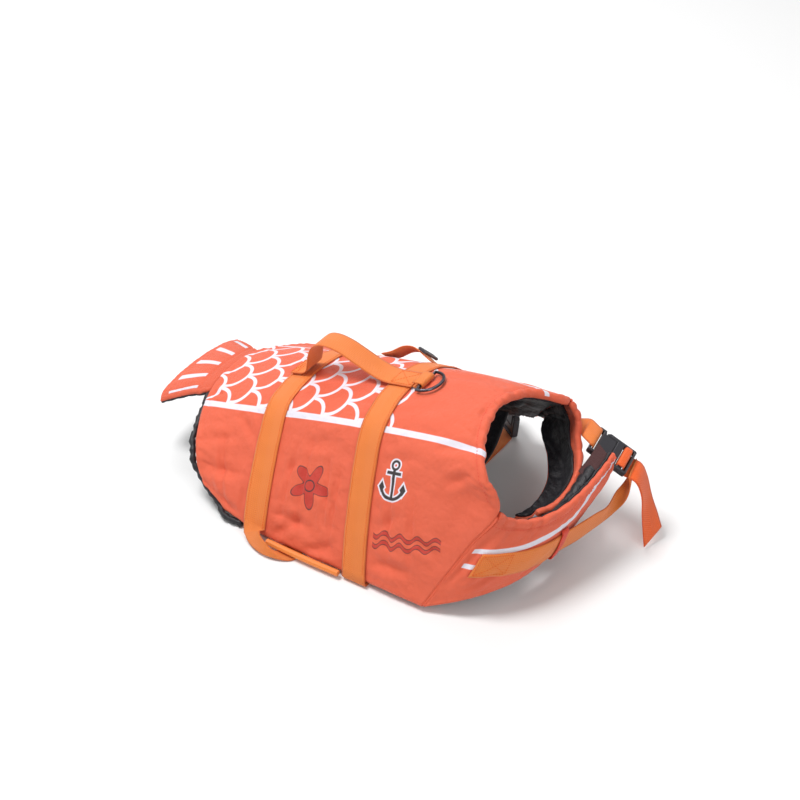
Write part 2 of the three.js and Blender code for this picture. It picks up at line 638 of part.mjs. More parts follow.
function sideRelease(name, origin, along, width, plugLength = 13, ladder = false) {
  const frame = frameFrom(origin, along, width);
  moulded(`${name}_socket`, SOCKET_OUTLINE, [slot(15.4, 18.8)], BUCKLE_THICKNESS, frame);
  const holes = [slot(-10.4, -7.2)];
  if (ladder) holes.push(slot(2.2 - plugLength, 5.6 - plugLength));
  moulded(`${name}_plug`, plugOutline(plugLength), holes, BUCKLE_THICKNESS, frame);
}

sideRelease('chest_buckle', point(148, 76, 79.5), point(-0.866, -0.16, 0.47), point(-0.16, 0.98, 0.13), 20, true);
sideRelease('front_belly_buckle', point(3, 144.5, 15), point(0.08, 0.03, 1), point(0.83, -0.55, 0), 13);
sideRelease('rear_belly_buckle', point(-108, 121, 14.6), point(0, 0.8, 0.6), point(1, 0, 0), 13);
moulded('adjuster_slider', [[-15, -4.5], [15, -4.5], [15, 4.5], [-15, 4.5]],
  [[[-12.9, -2.4], [12.9, -2.4], [12.9, 2.4], [-12.9, 2.4]]], 3,
  frameFrom(point(-47, 65 + 0.69 * 10.5, 108 + 0.72 * 10.5), point(1, -0.2, -0.2), point(0, 0.72, -0.69)));

// ---- chest webbing ----

// a place on a padded panel from two line numbers with parts, lifted off its outer face
function onPanel(panel, i, j, lift) {
  const a = Math.min(panel.grid.length - 2, Math.floor(i));
  const b = Math.min(panel.grid[0].length - 2, Math.floor(j));
  const line = (list, k) => mix(list[k][b], list[k][b + 1], j - b);
  const blend = (list) => mix(line(list, a), line(list, a + 1), i - a);
  const n = blend(panel.normals).normalize();
  return { p: blend(panel.grid).addScaledVector(n, lift), n };
}

const ON_CLOTH = SEAM_GAP + 0.25 + WEBBING_THICKNESS / 2;
// along the arm: line number, and the line numbers of the webbing's lower and upper edges
const CHEST_RUN = [
  { i: 4.2, low: 4.5, high: 5.8 }, { i: 5, low: 4.5, high: 5.85 }, { i: 6, low: 4.48, high: 6 },
  { i: 7, low: 4.42, high: 6.02 }, { i: 8, low: 4.3, high: 6 }, { i: 9, low: 4.12, high: 5.95 },
  { i: 10, low: 3.85, high: 5.88 }, { i: 11, low: 3.42, high: 5.75 },
];
const chestRows = CHEST_RUN.map(({ i, low, high }) => [0, 0.5, 1].map((t) => (
  onPanel(nearArm, i, low + (high - low) * t, ON_CLOTH))));
const CHEST_FREE = [
  { left: [153.5, 2, 28], right: [158, 5, 51] },
  { left: [158, 18, 30], right: [163, 22, 52] },
  { left: [163, 32, 33], right: [166, 38, 50] },
  { left: [168, 46, 37], right: [164, 57, 53] },
  { left: [174, 57, 46], right: [164, 75, 54] },
  { left: [174.5, 64, 58], right: [166, 87, 61.5] },
  { left: [170.6, 66.9, 66.8], right: [166, 91.6, 69.4] },
];
const freeRows = edgesToRows(CHEST_FREE, 14);
const lastRun = chestRows[chestRows.length - 1][1].n;
if (freeRows[0][1].n.dot(lastRun) < 0) freeRows.forEach((row) => row.forEach((c) => c.n.negate()));
ribbon('chest_strap_right', [...chestRows, ...freeRows]);

// the keeper stitched across the chest strap
const keeperRows = [
  { j: 3.1, lift: 0.1 }, { j: 3.28, lift: 2 }, { j: 4.6, lift: 2.3 }, { j: 6.02, lift: 2 }, { j: 6.35, lift: 0.1 },
].map(({ j, lift }) => [10.4, 11].map((i) => onPanel(nearArm, i, j, ON_CLOTH + lift)));
ribbon('strap_keeper', keeperRows);

// the free end below the ladder lock, and the webbing sewn to the inner arm
ribbon('chest_strap_end', edgesToRows([
  { left: [172.2, 67.4, 67.5], right: [167.5, 92, 70.1] },
  { left: [177.5, 68, 62.5], right: [171, 92, 66] },
  { left: [184.5, 68, 50], right: [177.5, 92, 55.5] },
  { left: [189, 64, 30], right: [186, 88, 38] },
  { left: [193.5, 60, 14], right: [194, 85.5, 24] },
  { left: [196.5, 58, 2], right: [201, 83, 11] },
], 12));
const sewn = [3.2, 4, 4.8].map((i) => ({
  left: onPanel(farArm, i, 7.4, ON_CLOTH + 0.5).p.toArray(),
  right: onPanel(farArm, i, 6, ON_CLOTH + 0.5).p.toArray(),
}));
ribbon('chest_strap_left', edgesToRows([
  ...sewn,
  { left: [119, 70.5, 90.6], right: [115, 92, 93.5] },
  { left: [124.5, 68, 91], right: [121, 92.6, 94] },
  { left: [130, 67.6, 89.7], right: [126, 92.1, 92.9] },
], 12));

// the fastening strip: sewn inside the tip of the outer arm, its free edge over the inner arm
const STRIP = { lines: [13.5, 14.6, 15.7, 16.8, 17.8], height: 7.6, reach: [-13, 7, 3], thickness: 1 };
const stripRows = edgesToRows(STRIP.lines.map((i) => {
  const depth = -ARM_PADDING - 2 * SEAM_GAP - LINING_THICKNESS - 0.1;
  const edge = onPanel(nearArm, i, STRIP.height, depth).p;
  return { left: edge.toArray(), right: edge.clone().add(point(...STRIP.reach)).toArray() };
}), 8);
ribbon('fastening_strip', stripRows, COLOUR.strip, STRIP.thickness);

export default group;
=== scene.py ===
import math

import bpy
import numpy as np
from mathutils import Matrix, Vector


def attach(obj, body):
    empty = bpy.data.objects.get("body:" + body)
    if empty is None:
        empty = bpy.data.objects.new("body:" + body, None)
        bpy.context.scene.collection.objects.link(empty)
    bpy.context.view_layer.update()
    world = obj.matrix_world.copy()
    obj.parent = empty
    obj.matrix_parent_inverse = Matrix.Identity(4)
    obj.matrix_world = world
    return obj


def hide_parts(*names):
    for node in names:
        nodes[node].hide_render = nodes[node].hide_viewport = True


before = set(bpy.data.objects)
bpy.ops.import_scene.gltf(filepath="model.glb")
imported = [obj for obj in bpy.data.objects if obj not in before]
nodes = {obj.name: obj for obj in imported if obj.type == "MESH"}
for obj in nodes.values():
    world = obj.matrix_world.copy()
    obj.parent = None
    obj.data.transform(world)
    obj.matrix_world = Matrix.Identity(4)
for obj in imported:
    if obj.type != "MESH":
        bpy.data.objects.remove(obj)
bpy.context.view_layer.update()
mm = 0.001
print("frame loaded")

# camera, floor and light
# the photograph's view: camera direction from azimuth and elevation, 0.9 mm to a pixel
view = {"azimuth": 33.3, "elevation": 36.3, "lens": 80.0, "distance": 1.6, "aim": (-0.0239, -0.0114, 0.1222)}
azimuth = math.radians(view["azimuth"])
elevation = math.radians(view["elevation"])
back = np.array([
    math.sin(azimuth) * math.cos(elevation),
    -math.cos(azimuth) * math.cos(elevation),
    math.sin(elevation),
])
cameraData = bpy.data.cameras.new("camera")
cameraData.lens = view["lens"]
cameraData.sensor_width = 36.0
cameraData.clip_end = 50.0
camera = bpy.data.objects.new("camera", cameraData)
bpy.context.scene.collection.objects.link(camera)
camera.location = np.array(view["aim"]) + back * view["distance"]
camera.rotation_mode = "QUATERNION"
camera.rotation_quaternion = Vector(-back).to_track_quat("-Z", "Y")
bpy.context.scene.camera = camera
bpy.context.scene.view_settings.view_transform = "Standard"


# a round lamp of the given width and power, turned to the jacket's middle
def areaLight(name, place, size, power):
    data = bpy.data.lights.new(name, "AREA")
    data.shape = "DISK"
    data.size = size
    data.energy = power
    lamp = bpy.data.objects.new(name, data)
    bpy.context.scene.collection.objects.link(lamp)
    lamp.location = place
    lamp.rotation_mode = "QUATERNION"
    lamp.rotation_quaternion = (Vector((0, 0, 0.06)) - Vector(place)).to_track_quat("-Z", "Y")


areaLight("key", (-0.8, -0.3, 2.1), 0.9, 40)
areaLight("fill", (1.7, -0.9, 1.3), 1.4, 11)
areaLight("rim", (-0.9, 1.3, 1.7), 1.2, 12)
world = bpy.data.worlds.new("studio")
bpy.context.scene.world = world
world.use_nodes = True
world.node_tree.nodes["Background"].inputs[0].default_value = (1, 1, 1, 1)
world.node_tree.nodes["Background"].inputs[1].default_value = 0.44


# shader sums
# a value in a node tree; the usual signs make Math nodes
class Value:
    def __init__(self, tree, socket):
        self.tree = tree
        self.socket = socket

    # a Math node fed by this value and the others, which are values or plain numbers
    def math(self, operation, *others):
        node = self.tree.nodes.new("ShaderNodeMath")
        node.operation = operation
        for k, item in enumerate((self, *others)):
            if isinstance(item, Value):
                self.tree.links.new(item.socket, node.inputs[k])
            else:
                node.inputs[k].default_value = item
        return Value(self.tree, node.outputs[0])

    # a + b, a - b, a * b and a / b
    def __add__(self, other):
        return self.math("ADD", other)

    def __sub__(self, other):
        return self.math("SUBTRACT", other)

    def __mul__(self, other):
        return self.math("MULTIPLY", other)

    def __truediv__(self, other):
        return self.math("DIVIDE", other)

    # |a|, a less its whole part, the whole part, sin a, and the smaller or larger of a and b
    def size(self):
        return self.math("ABSOLUTE")

    def part(self):
        return self.math("FRACT")

    def whole(self):
        return self.math("FLOOR")

    def sine(self):
        return self.math("SINE")

    def least(self, other):
        return self.math("MINIMUM", other)

    def most(self, other):
        return self.math("MAXIMUM", other)

    # 1 below the limit and 0 above it: (limit - a) / soft + 0.5, held between 0 and 1
    def below(self, limit, soft=0.25):
        if isinstance(limit, Value):
            gap = limit - self
        else:
            gap = (self * -1.0) + limit
        node = ((gap / soft) + 0.5).math("MAXIMUM", 0.0)
        return node.math("MINIMUM", 1.0)

    # the other way round: -a below -limit
    def above(self, limit, soft=0.25):
        return (self * -1.0).below(-limit, soft)


# the square root of a * a + b * b
def root(a, b):
    return ((a * a) + (b * b)).math("SQRT")


# screen colour to light: c / 12.92 near black, ((c + 0.055) / 1.055) ^ 2.4 above
def linear(colour):
    return [(c / 12.92 if c <= 0.04045 else ((c + 0.055) / 1.055) ** 2.4) for c in colour] + [1.0]


shellColour = linear((0.885, 0.37, 0.235))
whiteColour = linear((0.90, 0.885, 0.925))
webbingColour = linear((0.90, 0.50, 0.185))
# the webbing's darker colour: painted shade in its rib lows, and its darker borders
webbingShadeAndBorder = linear((0.80, 0.33, 0.10))
liningColour = linear((0.095, 0.088, 0.112))
stripColour = linear((0.30, 0.175, 0.175))
plasticColour = linear((0.20, 0.195, 0.215))
redColour = linear((0.77, 0.20, 0.13))
inkColour = linear((0.17, 0.13, 0.14))


# a Principled material with constants on its own sockets
def material(name, colour, roughness, sheen=0.0, metallic=0.0):
    made = bpy.data.materials.new(name)
    made.use_nodes = True
    shader = made.node_tree.nodes["Principled BSDF"]
    shader.inputs["Base Color"].default_value = colour
    shader.inputs["Roughness"].default_value = roughness
    shader.inputs["Metallic"].default_value = metallic
    if sheen:
        shader.inputs["Sheen Weight"].default_value = sheen
        shader.inputs["Sheen Roughness"].default_value = 0.5
    return made, made.node_tree, shader


# the piece's own surface layer: length and place across, in millimetres
def surfacePlace(tree):
    place = tree.nodes.new("ShaderNodeUVMap")
    place.uv_map = "cloth"
    split = tree.nodes.new("ShaderNodeSeparateXYZ")
    tree.links.new(place.outputs[0], split.inputs[0])
    # the layer holds decimetres
    return Value(tree, split.outputs[0]) * 100.0, Value(tree, split.outputs[1]) * 100.0


# cloudy noise on Object coordinates
def noise(tree, scale, detail=2.0):
    place = tree.nodes.new("ShaderNodeTexCoord")
    node = tree.nodes.new("ShaderNodeTexNoise")
    if isinstance(scale, Value):
        tree.links.new(scale.socket, node.inputs["Scale"])
    else:
        node.inputs["Scale"].default_value = scale
    node.inputs["Detail"].default_value = detail
    tree.links.new(place.outputs["Object"], node.inputs["Vector"])
    return Value(tree, node.outputs[0])


# a node group from named number inputs; sums gets them as values and gives the outputs by name
def nodeGroup(name, inputs, outputs, sums):
    group = bpy.data.node_groups.new(name, "ShaderNodeTree")
    for key, start in inputs.items():
        socket = group.interface.new_socket(name=key, in_out="INPUT", socket_type="NodeSocketFloat")
        socket.default_value = start
    for key, kind in outputs.items():
        group.interface.new_socket(name=key, in_out="OUTPUT", socket_type=kind)
    entry = group.nodes.new("NodeGroupInput")
    leave = group.nodes.new("NodeGroupOutput")
    made = sums(group, {key: Value(group, entry.outputs[key]) for key in inputs})
    for key, value in made.items():
        group.links.new(value.socket, leave.inputs[key])
    return group


# places a group in a material with that material's own values
def useGroup(tree, group, values):
    node = tree.nodes.new("ShaderNodeGroup")
    node.node_tree = group
    for key, value in values.items():
        if isinstance(value, Value):
            tree.links.new(value.socket, node.inputs[key])
        else:
            node.inputs[key].default_value = value
    return node


# height = ribs + crumple noise * its weight + grain noise * its weight, turned into a normal
def reliefSums(tree, given):
    height = given["Ribs"] + noise(tree, given["Crumple Scale"], 3.0) * given["Crumple"]
    height = height + noise(tree, given["Grain Scale"]) * given["Grain"]
    node = tree.nodes.new("ShaderNodeBump")
    tree.links.new(given["Distance"].socket, node.inputs["Distance"])
    tree.links.new(height.socket, node.inputs["Height"])
    return {"Normal": Value(tree, node.outputs[0])}


# threads = sin(u) * sin(v) at the pitch
def weaveSums(tree, given):
    turn = given["Pitch"].math("POWER", -1.0) * math.tau
    return {"Threads": (given["U"] * turn).sine() * (given["V"] * turn).sine()}


# slanted ribs sin(u + 0.9 |v|) with cords sin(v) along the webbing; the shade is painted shade in their lows,
# darker along both borders, with a noise speckle
def ribSums(tree, given):
    turn = given["Rib"].math("POWER", -1.0) * math.tau
    aside = given["V"].size()
    ribs = ((given["U"] + aside * 0.9) * turn).sine() * 0.5 + (given["V"] * turn).sine() * 0.35
    border = (aside - given["Edge"]).above(0.0, 0.6)
    shade = (ribs * -0.3 + 0.12 + border * 0.4 + noise(tree, 60.0) * 0.22).most(0.0)
    return {"Ribs": ribs, "Shade": shade}


numberSocket = "NodeSocketFloat"
reliefGroup = nodeGroup(
    "cloth_relief", {"Ribs": 0.0, "Crumple Scale": 34.0, "Crumple": 0.0, "Grain Scale": 900.0, "Grain": 0.0,
                     "Distance": 0.001}, {"Normal": "NodeSocketVector"}, reliefSums)
weaveGroup = nodeGroup("plain_weave", {"U": 0.0, "V": 0.0, "Pitch": 0.9},
                       {"Threads": numberSocket}, weaveSums)
ribGroup = nodeGroup("webbing_ribs", {"U": 0.0, "V": 0.0, "Rib": 1.9, "Edge": 11.3},
                     {"Ribs": numberSocket, "Shade": numberSocket}, ribSums)


# the relief group's normal on a material's shader
def surfaceRelief(tree, shader, **values):
    made = useGroup(tree, reliefGroup, {key.replace("_", " "): value for key, value in values.items()})
    tree.links.new(made.outputs["Normal"], shader.inputs["Normal"])


# paints colours over each other, each where its mask is 1
def layered(tree, shader, base, layers):
    last = None
    for mask, colour in layers:
        mix = tree.nodes.new("ShaderNodeMix")
        mix.data_type = "RGBA"
        tree.links.new(mask.socket, mix.inputs["Factor"])
        if last is None:
            mix.inputs[6].default_value = base
        else:
            tree.links.new(last, mix.inputs[6])
        if isinstance(colour, Value):
            tree.links.new(colour.socket, mix.inputs[7])
        else:
            mix.inputs[7].default_value = colour
        last = mix.outputs[2]
    tree.links.new(last, shader.inputs["Base Color"])


# coated cloth: prints over the shell colour, threads and crumple in its relief
def clothMaterial(name, prints):
    made, tree, shader = material(name, shellColour, 0.55, 0.1)
    u, v = surfacePlace(tree)
    layered(tree, shader, shellColour, prints(u, v.size(), v))
    threads = Value(tree, useGroup(tree, weaveGroup, {"U": u, "V": v, "Pitch": 0.9}).outputs["Threads"])
    surfaceRelief(tree, shader, Ribs=threads * 0.1, Crumple_Scale=34.0, Crumple=4.6,
                  Grain_Scale=120.0, Grain=1.6, Distance=0.0009)
    return made


# a ring band between two distances
def band(distance, middle, width, soft=0.5):
    return (distance - middle).size().below(width / 2, soft)


backPrint = {"stripe": 59.0, "stripeWidth": 6.0, "scale": 19.0, "line": 3.6, "from": -208.0, "to": 18.0}
starPrint = {"u": -56.0, "v": 121.0, "radius": 21.0, "outline": 1.1}
anchorPrint = {"u": 32.0, "v": 104.0}
wavePrint = {"from": 18.0, "to": 86.0, "v": 152.0, "length": 17.0, "height": 2.6, "width": 3.2, "apart": 8.5}


# scallops: half circles of radius R in rows R apart, each row moved by half a circle
def scallops(u, v, radius, line):
    rowPlace = u / radius
    row = rowPlace.whole()
    half = (row * 0.5).part()
    across = ((v / (2 * radius)) + half).part() - 0.5
    return band(root(across * (2 * radius), (rowPlace - row) * radius), radius - line / 2, line)


# two stripes and scallops between them, a star, an anchor and two waves, each as a mask over u and |v|
def bodyPrints(u, side, v):
    p = backPrint
    stripe = band(side, p["stripe"], p["stripeWidth"])
    inside = side.below(p["stripe"], 0.5) * u.above(p["from"], 0.5) * u.below(p["to"], 0.5)
    scale = scallops(u, v, p["scale"], p["line"]) * inside
    # star: the limit radius swings five times round the centre
    s = starPrint
    du = u - s["u"]
    dv = side - s["v"]
    turn = dv.math("ARCTAN2", du)
    swing = ((turn * 5.0 + 0.6).sine() * 0.3 + 0.7) * s["radius"]
    reach = root(du, dv)
    star = reach.below(swing, 0.5)
    starEdge = reach.below(swing + s["outline"], 0.5)
    dots = band(reach, 5.0, 1.2) * star
    # anchor: ring, shank, stock and a half ring with flukes
    a = anchorPrint
    x = u - a["u"]
    y = side - a["v"]
    ring = band(root(x, y + 15.5), 3.6, 2.2)
    shank = x.size().below(1.5, 0.4) * y.above(-12.5, 0.4) * y.below(14.0, 0.4)
    stock = x.size().below(7.5, 0.4) * (y + 8.5).size().below(1.4, 0.4)
    arms = band(root(x, y - 3.0), 11.5, 2.8) * y.above(5.0, 0.4)
    flukeTips = ((x.size() - 11.3).size() + (y - 5.0).size() * 0.6).below(3.2, 0.4)
    anchor = ring.most(shank).most(stock).most(arms).most(flukeTips)
    disc = ring.most((x.size().below(2.9, 0.5) * y.above(-13.5, 0.4) * y.below(15.6, 0.5)))
    halo = band(root(x, y - 3.0), 11.5, 5.6) * y.above(4.4, 0.4)
    stockHalo = x.size().below(8.9, 0.4) * (y + 8.5).size().below(2.8, 0.4)
    ringHalo = band(root(x, y + 15.5), 3.6, 5.0)
    tipHalo = ((x.size() - 11.3).size() + (y - 5.0).size() * 0.6).below(4.9, 0.4)
    white = disc.most(halo).most(stockHalo).most(ringHalo).most(tipHalo)
    # two parallel waves
    w = wavePrint
    inWave = u.above(w["from"], 0.5) * u.below(w["to"], 0.5)
    rise = (u * (math.tau / w["length"])).sine() * w["height"]
    first = (side - w["v"] - rise).size()
    second = (side - (w["v"] + w["apart"]) - rise).size()
    nearest = first.least(second)
    waveEdge = nearest.below(w["width"] / 2 + 0.7, 0.4) * inWave
    wave = nearest.below(w["width"] / 2, 0.4) * inWave
    return [
        (stripe.most(scale), whiteColour), (starEdge, inkColour), (star, redColour), (dots, inkColour),
        (white, whiteColour), (anchor, inkColour), (waveEdge, inkColour), (wave, redColour),
    ]


armPrint = {"middle": 3.0, "apart": 17.0, "width": 5.0, "to": 200.0, "lowTo": 118.0}


# two stripes along the arm, |v - middle| near half their distance; the lower one ends at the keeper
def armPrints(u, side, v):
    a = armPrint
    lines = band((v - a["middle"]).size(), a["apart"] / 2, a["width"]) * u.above(6.0, 0.5)
    upper = v.above(a["middle"], 0.5) * u.below(a["to"], 0.5)
    lower = v.below(a["middle"], 0.5) * u.below(a["lowTo"], 0.5)
    lines = lines * upper.most(lower)
    return [(lines, whiteColour)]


tailPrint = {"rays": 5.0, "width": 0.25, "from": 15.0, "to": 42.0, "sides": 93.0}


# rays: the layer's second value is the share of the half width, so lines fan out
def tailPrints(u, side, v):
    t = tailPrint
    cell = ((v / 100.0 * (t["rays"] / 2) + 0.5).part() - 0.5).size()
    ray = cell.below(t["width"] / 2, 0.02) * u.above(t["from"], 0.5) * u.below(t["to"], 0.5)
    ray = ray * side.below(t["sides"], 0.5)
    return [(ray, whiteColour)]


bodyCloth = clothMaterial("printed_cloth", bodyPrints)
armCloth = clothMaterial("arm_cloth", armPrints)
tailCloth = clothMaterial("tail_cloth", tailPrints)

liningCloth, tree, shader = material("lining_cloth", liningColour, 0.48, 0.06)
surfaceRelief(tree, shader, Crumple_Scale=60.0, Crumple=4.0, Grain_Scale=900.0, Grain=0.4, Distance=0.0012)
stripCloth, tree, shader = material("strip_cloth", stripColour, 0.9, 0.1)
surfaceRelief(tree, shader, Grain_Scale=1600.0, Grain=1.0, Distance=0.0008)
plastic, tree, shader = material("moulded_plastic", plasticColour, 0.38)
surfaceRelief(tree, shader, Grain_Scale=1500.0, Grain=1.0, Distance=0.00005)
metal, tree, shader = material("plated_ring", linear((0.36, 0.35, 0.38)), 0.28, metallic=1.0)
threadMaterial, tree, shader = material("thread", linear((0.86, 0.36, 0.10)), 0.7)
seamThread, tree, shader = material("seam_thread", linear((0.86, 0.30, 0.22)), 0.7)
edgeCloth, tree, shader = material("edge_binding", webbingColour, 0.6, 0.15)
surfaceRelief(tree, shader, Crumple_Scale=160.0, Crumple=1.0, Grain_Scale=1200.0, Grain=0.3, Distance=0.0006)


# webbing: painted shade between its ribs, and darker along both borders
def webbingMaterial(name, colour, dark):
    made, tree, shader = material(name, colour, 0.6, 0.15)
    u, v = surfacePlace(tree)
    ribs = useGroup(tree, ribGroup, {"U": u, "V": v, "Rib": 1.9, "Edge": 11.3})
    layered(tree, shader, colour, [(Value(tree, ribs.outputs["Shade"]), dark)])
    surfaceRelief(tree, shader, Ribs=Value(tree, ribs.outputs["Ribs"]), Distance=0.00022)
    return made


webbing = webbingMaterial("webbing", webbingColour, webbingShadeAndBorder)
webbingKeeper = webbingMaterial("webbing_red", linear((0.88, 0.24, 0.10)), linear((0.74, 0.14, 0.06)))
webbingInner = webbingMaterial("webbing_deep", linear((0.95, 0.39, 0.07)), linear((0.82, 0.27, 0.04)))
print("materials made")


# curves and grids
# centripetal Catmull-Rom through points (n, b, 3) at places 0..1 (k, b): cubic between neighbours
# whose end slopes weigh the chords by the root of their lengths
def curveAt(points, places):
    points = np.asarray(points, float)
    places = np.asarray(places, float)
    flat = points.ndim == 2
    if flat:
        points = points[:, None, :]
        places = places[:, None]
    first = 2 * points[0] - points[1]
    last = 2 * points[-1] - points[-2]
    padded = np.concatenate([first[None], points, last[None]])
    count = len(points)
    spot = np.clip(places, 0, 1) * (count - 1)
    k = np.minimum(spot.astype(int), count - 2)
    w = (spot - k)[..., None]
    column = np.arange(points.shape[1])[None, :]
    p0, p1, p2, p3 = (padded[k + step, column] for step in range(4))

    # the square root of the distance between neighbours
    def chord(a, b):
        return np.maximum(np.linalg.norm(b - a, axis=-1), 1e-8)[..., None] ** 0.5

    d0, d1, d2 = chord(p0, p1), chord(p1, p2), chord(p2, p3)
    s1 = ((p1 - p0) / d0 - (p2 - p0) / (d0 + d1) + (p2 - p1) / d1) * d1
    s2 = ((p2 - p1) / d1 - (p3 - p1) / (d1 + d2) + (p3 - p2) / d2) * d1
    made = p1 + s1 * w + (3 * (p2 - p1) - 2 * s1 - s2) * w**2 + (2 * (p1 - p2) + s1 + s2) * w**3
    return made[:, 0] if flat else made


# unit cross product of the slopes along and across a grid
def normalsOf(grid, sign=1.0):
    along = np.gradient(grid, axis=0)
    across = np.gradient(grid, axis=1)
    normal = np.cross(along, across)
    return sign * normal / np.maximum(np.linalg.norm(normal, axis=-1, keepdims=True), 1e-12)


# over the rolled borders the lines lie too close to give a normal, so the first full line's is held there
def heldNormals(grid, sign=1.0):
    normal = normalsOf(grid, sign)
    last = len(roll) - 1
    normal[:, :last], normal[:, -last:] = normal[:, last:last + 1], normal[:, -last - 1:-last]
    normal[:last], normal[-last:] = normal[last:last + 1], normal[-last - 1:-last]
    return normal


# distances of each grid point from the four borders, in mm: sums of the steps along its lines
def borderDistances(grid):
    stepU = np.linalg.norm(np.diff(grid, axis=0), axis=-1)
    stepV = np.linalg.norm(np.diff(grid, axis=1), axis=-1)
    u = np.concatenate([np.zeros((1, grid.shape[1])), np.cumsum(stepU, axis=0)])
    v = np.concatenate([np.zeros((grid.shape[0], 1)), np.cumsum(stepV, axis=1)], axis=1)
    return u, u[-1:] - u, v, v[:, -1:] - v


# places of the lines over a rolled border, as shares of its radius
roll = np.array([0, 0.04, 0.15, 0.32, 0.55, 0.82, 1.15])


# material, body and the CAD nodes that a finished piece stands for
def finished(piece, replaced, paint):
    piece.data.materials.clear()
    piece.data.materials.append(paint)
    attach(piece, "root")
    if replaced:
        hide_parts(*replaced)
    return piece


# faces and layer values of a closed slab between two grids of one size; the inner side's layer is
# moved across by innerShift, clear of any print
def slabObject(name, upper, lower, placeUpper, sharedBorder=False, innerShift=0.0):
    rows, columns = upper.shape[:2]
    total = rows * columns
    points = np.concatenate([upper.reshape(-1, 3), lower.reshape(-1, 3)]) * mm
    index = np.arange(total).reshape(rows, columns)
    other = index + total
    if sharedBorder:
        other = other.copy()
        other[0], other[-1] = index[0], index[-1]
        other[:, 0], other[:, -1] = index[:, 0], index[:, -1]

    # corners of each cell, in the opposite order for the lower side
    def quads(grid, turned):
        a, b = grid[:-1, :-1], grid[1:, :-1]
        c, d = grid[1:, 1:], grid[:-1, 1:]
        order = (a, d, c, b) if turned else (a, b, c, d)
        return np.stack(order, axis=-1).reshape(-1, 4)

    faces = [quads(index, False), quads(other, True)]
    if not sharedBorder:
        ring = np.concatenate([index[:-1, 0], index[-1, :-1], index[:0:-1, -1], index[0, :0:-1]])
        after = np.roll(ring, -1)
        faces.append(np.stack([ring, ring + total, after + total, after], axis=-1))
    faces = np.concatenate(faces)
    centre = points.mean(axis=0)
    first, third, second = points[faces[:, 0]], points[faces[:, 2]], points[faces[:, 1]]
    volume = np.einsum("ij,ij->i", first - centre, np.cross(second - centre, third - centre)).sum()
    if volume < 0:
        faces = faces[:, ::-1]
    used = np.unique(faces)
    renumber = np.full(len(points), -1)
    renumber[used] = np.arange(len(used))
    places = placeUpper.reshape(-1, 2)[faces.ravel() % total]
    side = 4 * (rows - 1) * (columns - 1)
    places[side:2 * side, 1] += innerShift
    mesh = bpy.data.meshes.new(name)
    mesh.vertices.add(len(used))
    mesh.vertices.foreach_set("co", points[used].astype(np.float32).ravel())
    mesh.loops.add(faces.size)
    mesh.polygons.add(len(faces))
    mesh.polygons.foreach_set("loop_start", np.arange(len(faces), dtype=np.int32) * 4)
    mesh.loops.foreach_set("vertex_index", renumber[faces].astype(np.int32).ravel())
    mesh.update(calc_edges=True)
    layer = mesh.uv_layers.new(name="cloth")
    layer.data.foreach_set("uv", (places / 100).astype(np.float32).ravel())
    mesh.polygons.foreach_set("use_smooth", np.full(len(faces), True))
    mesh.validate()
    made = bpy.data.objects.new(name, mesh)
    bpy.context.scene.collection.objects.link(made)
    return made


# soft creases: each row is start and end on the surface (mm), half width and depth; a trough
# deep * exp(-(distance / width) ^ 2) with a ridge of 0.45 of it beside it, tapered to both ends
def creaseDepth(u, v, table):
    depth = np.zeros_like(u)
    for u0, v0, u1, v1, width, deep in table:
        dx, dy = u1 - u0, v1 - v0
        length = math.hypot(dx, dy)
        along = ((u - u0) * dx + (v - v0) * dy) / length**2
        near = np.clip(along, 0, 1)
        distance = np.hypot(u - u0 - near * dx, v - v0 - near * dy)
        taper = np.clip(1.15 - np.abs(along - 0.5) * 2, 0, 1) ** 0.5
        depth += deep * np.exp(-((distance / width) ** 2)) * taper
        depth -= deep * 0.45 * np.exp(-(((distance - 2.1 * width) / width) ** 2)) * taper
    return depth


# fixed unevenness: the mean of five sines of unlike lengths and directions
def unevenness(u, v, length, seed):
    total = np.zeros_like(u)
    for k in range(5):
        angle = 2.4 * k + seed
        pitch = length * (0.62 + 0.23 * k)
        total += np.sin(math.tau * (u * math.cos(angle) + v * math.sin(angle)) / pitch + 1.7 * k * seed)
    return total / 5


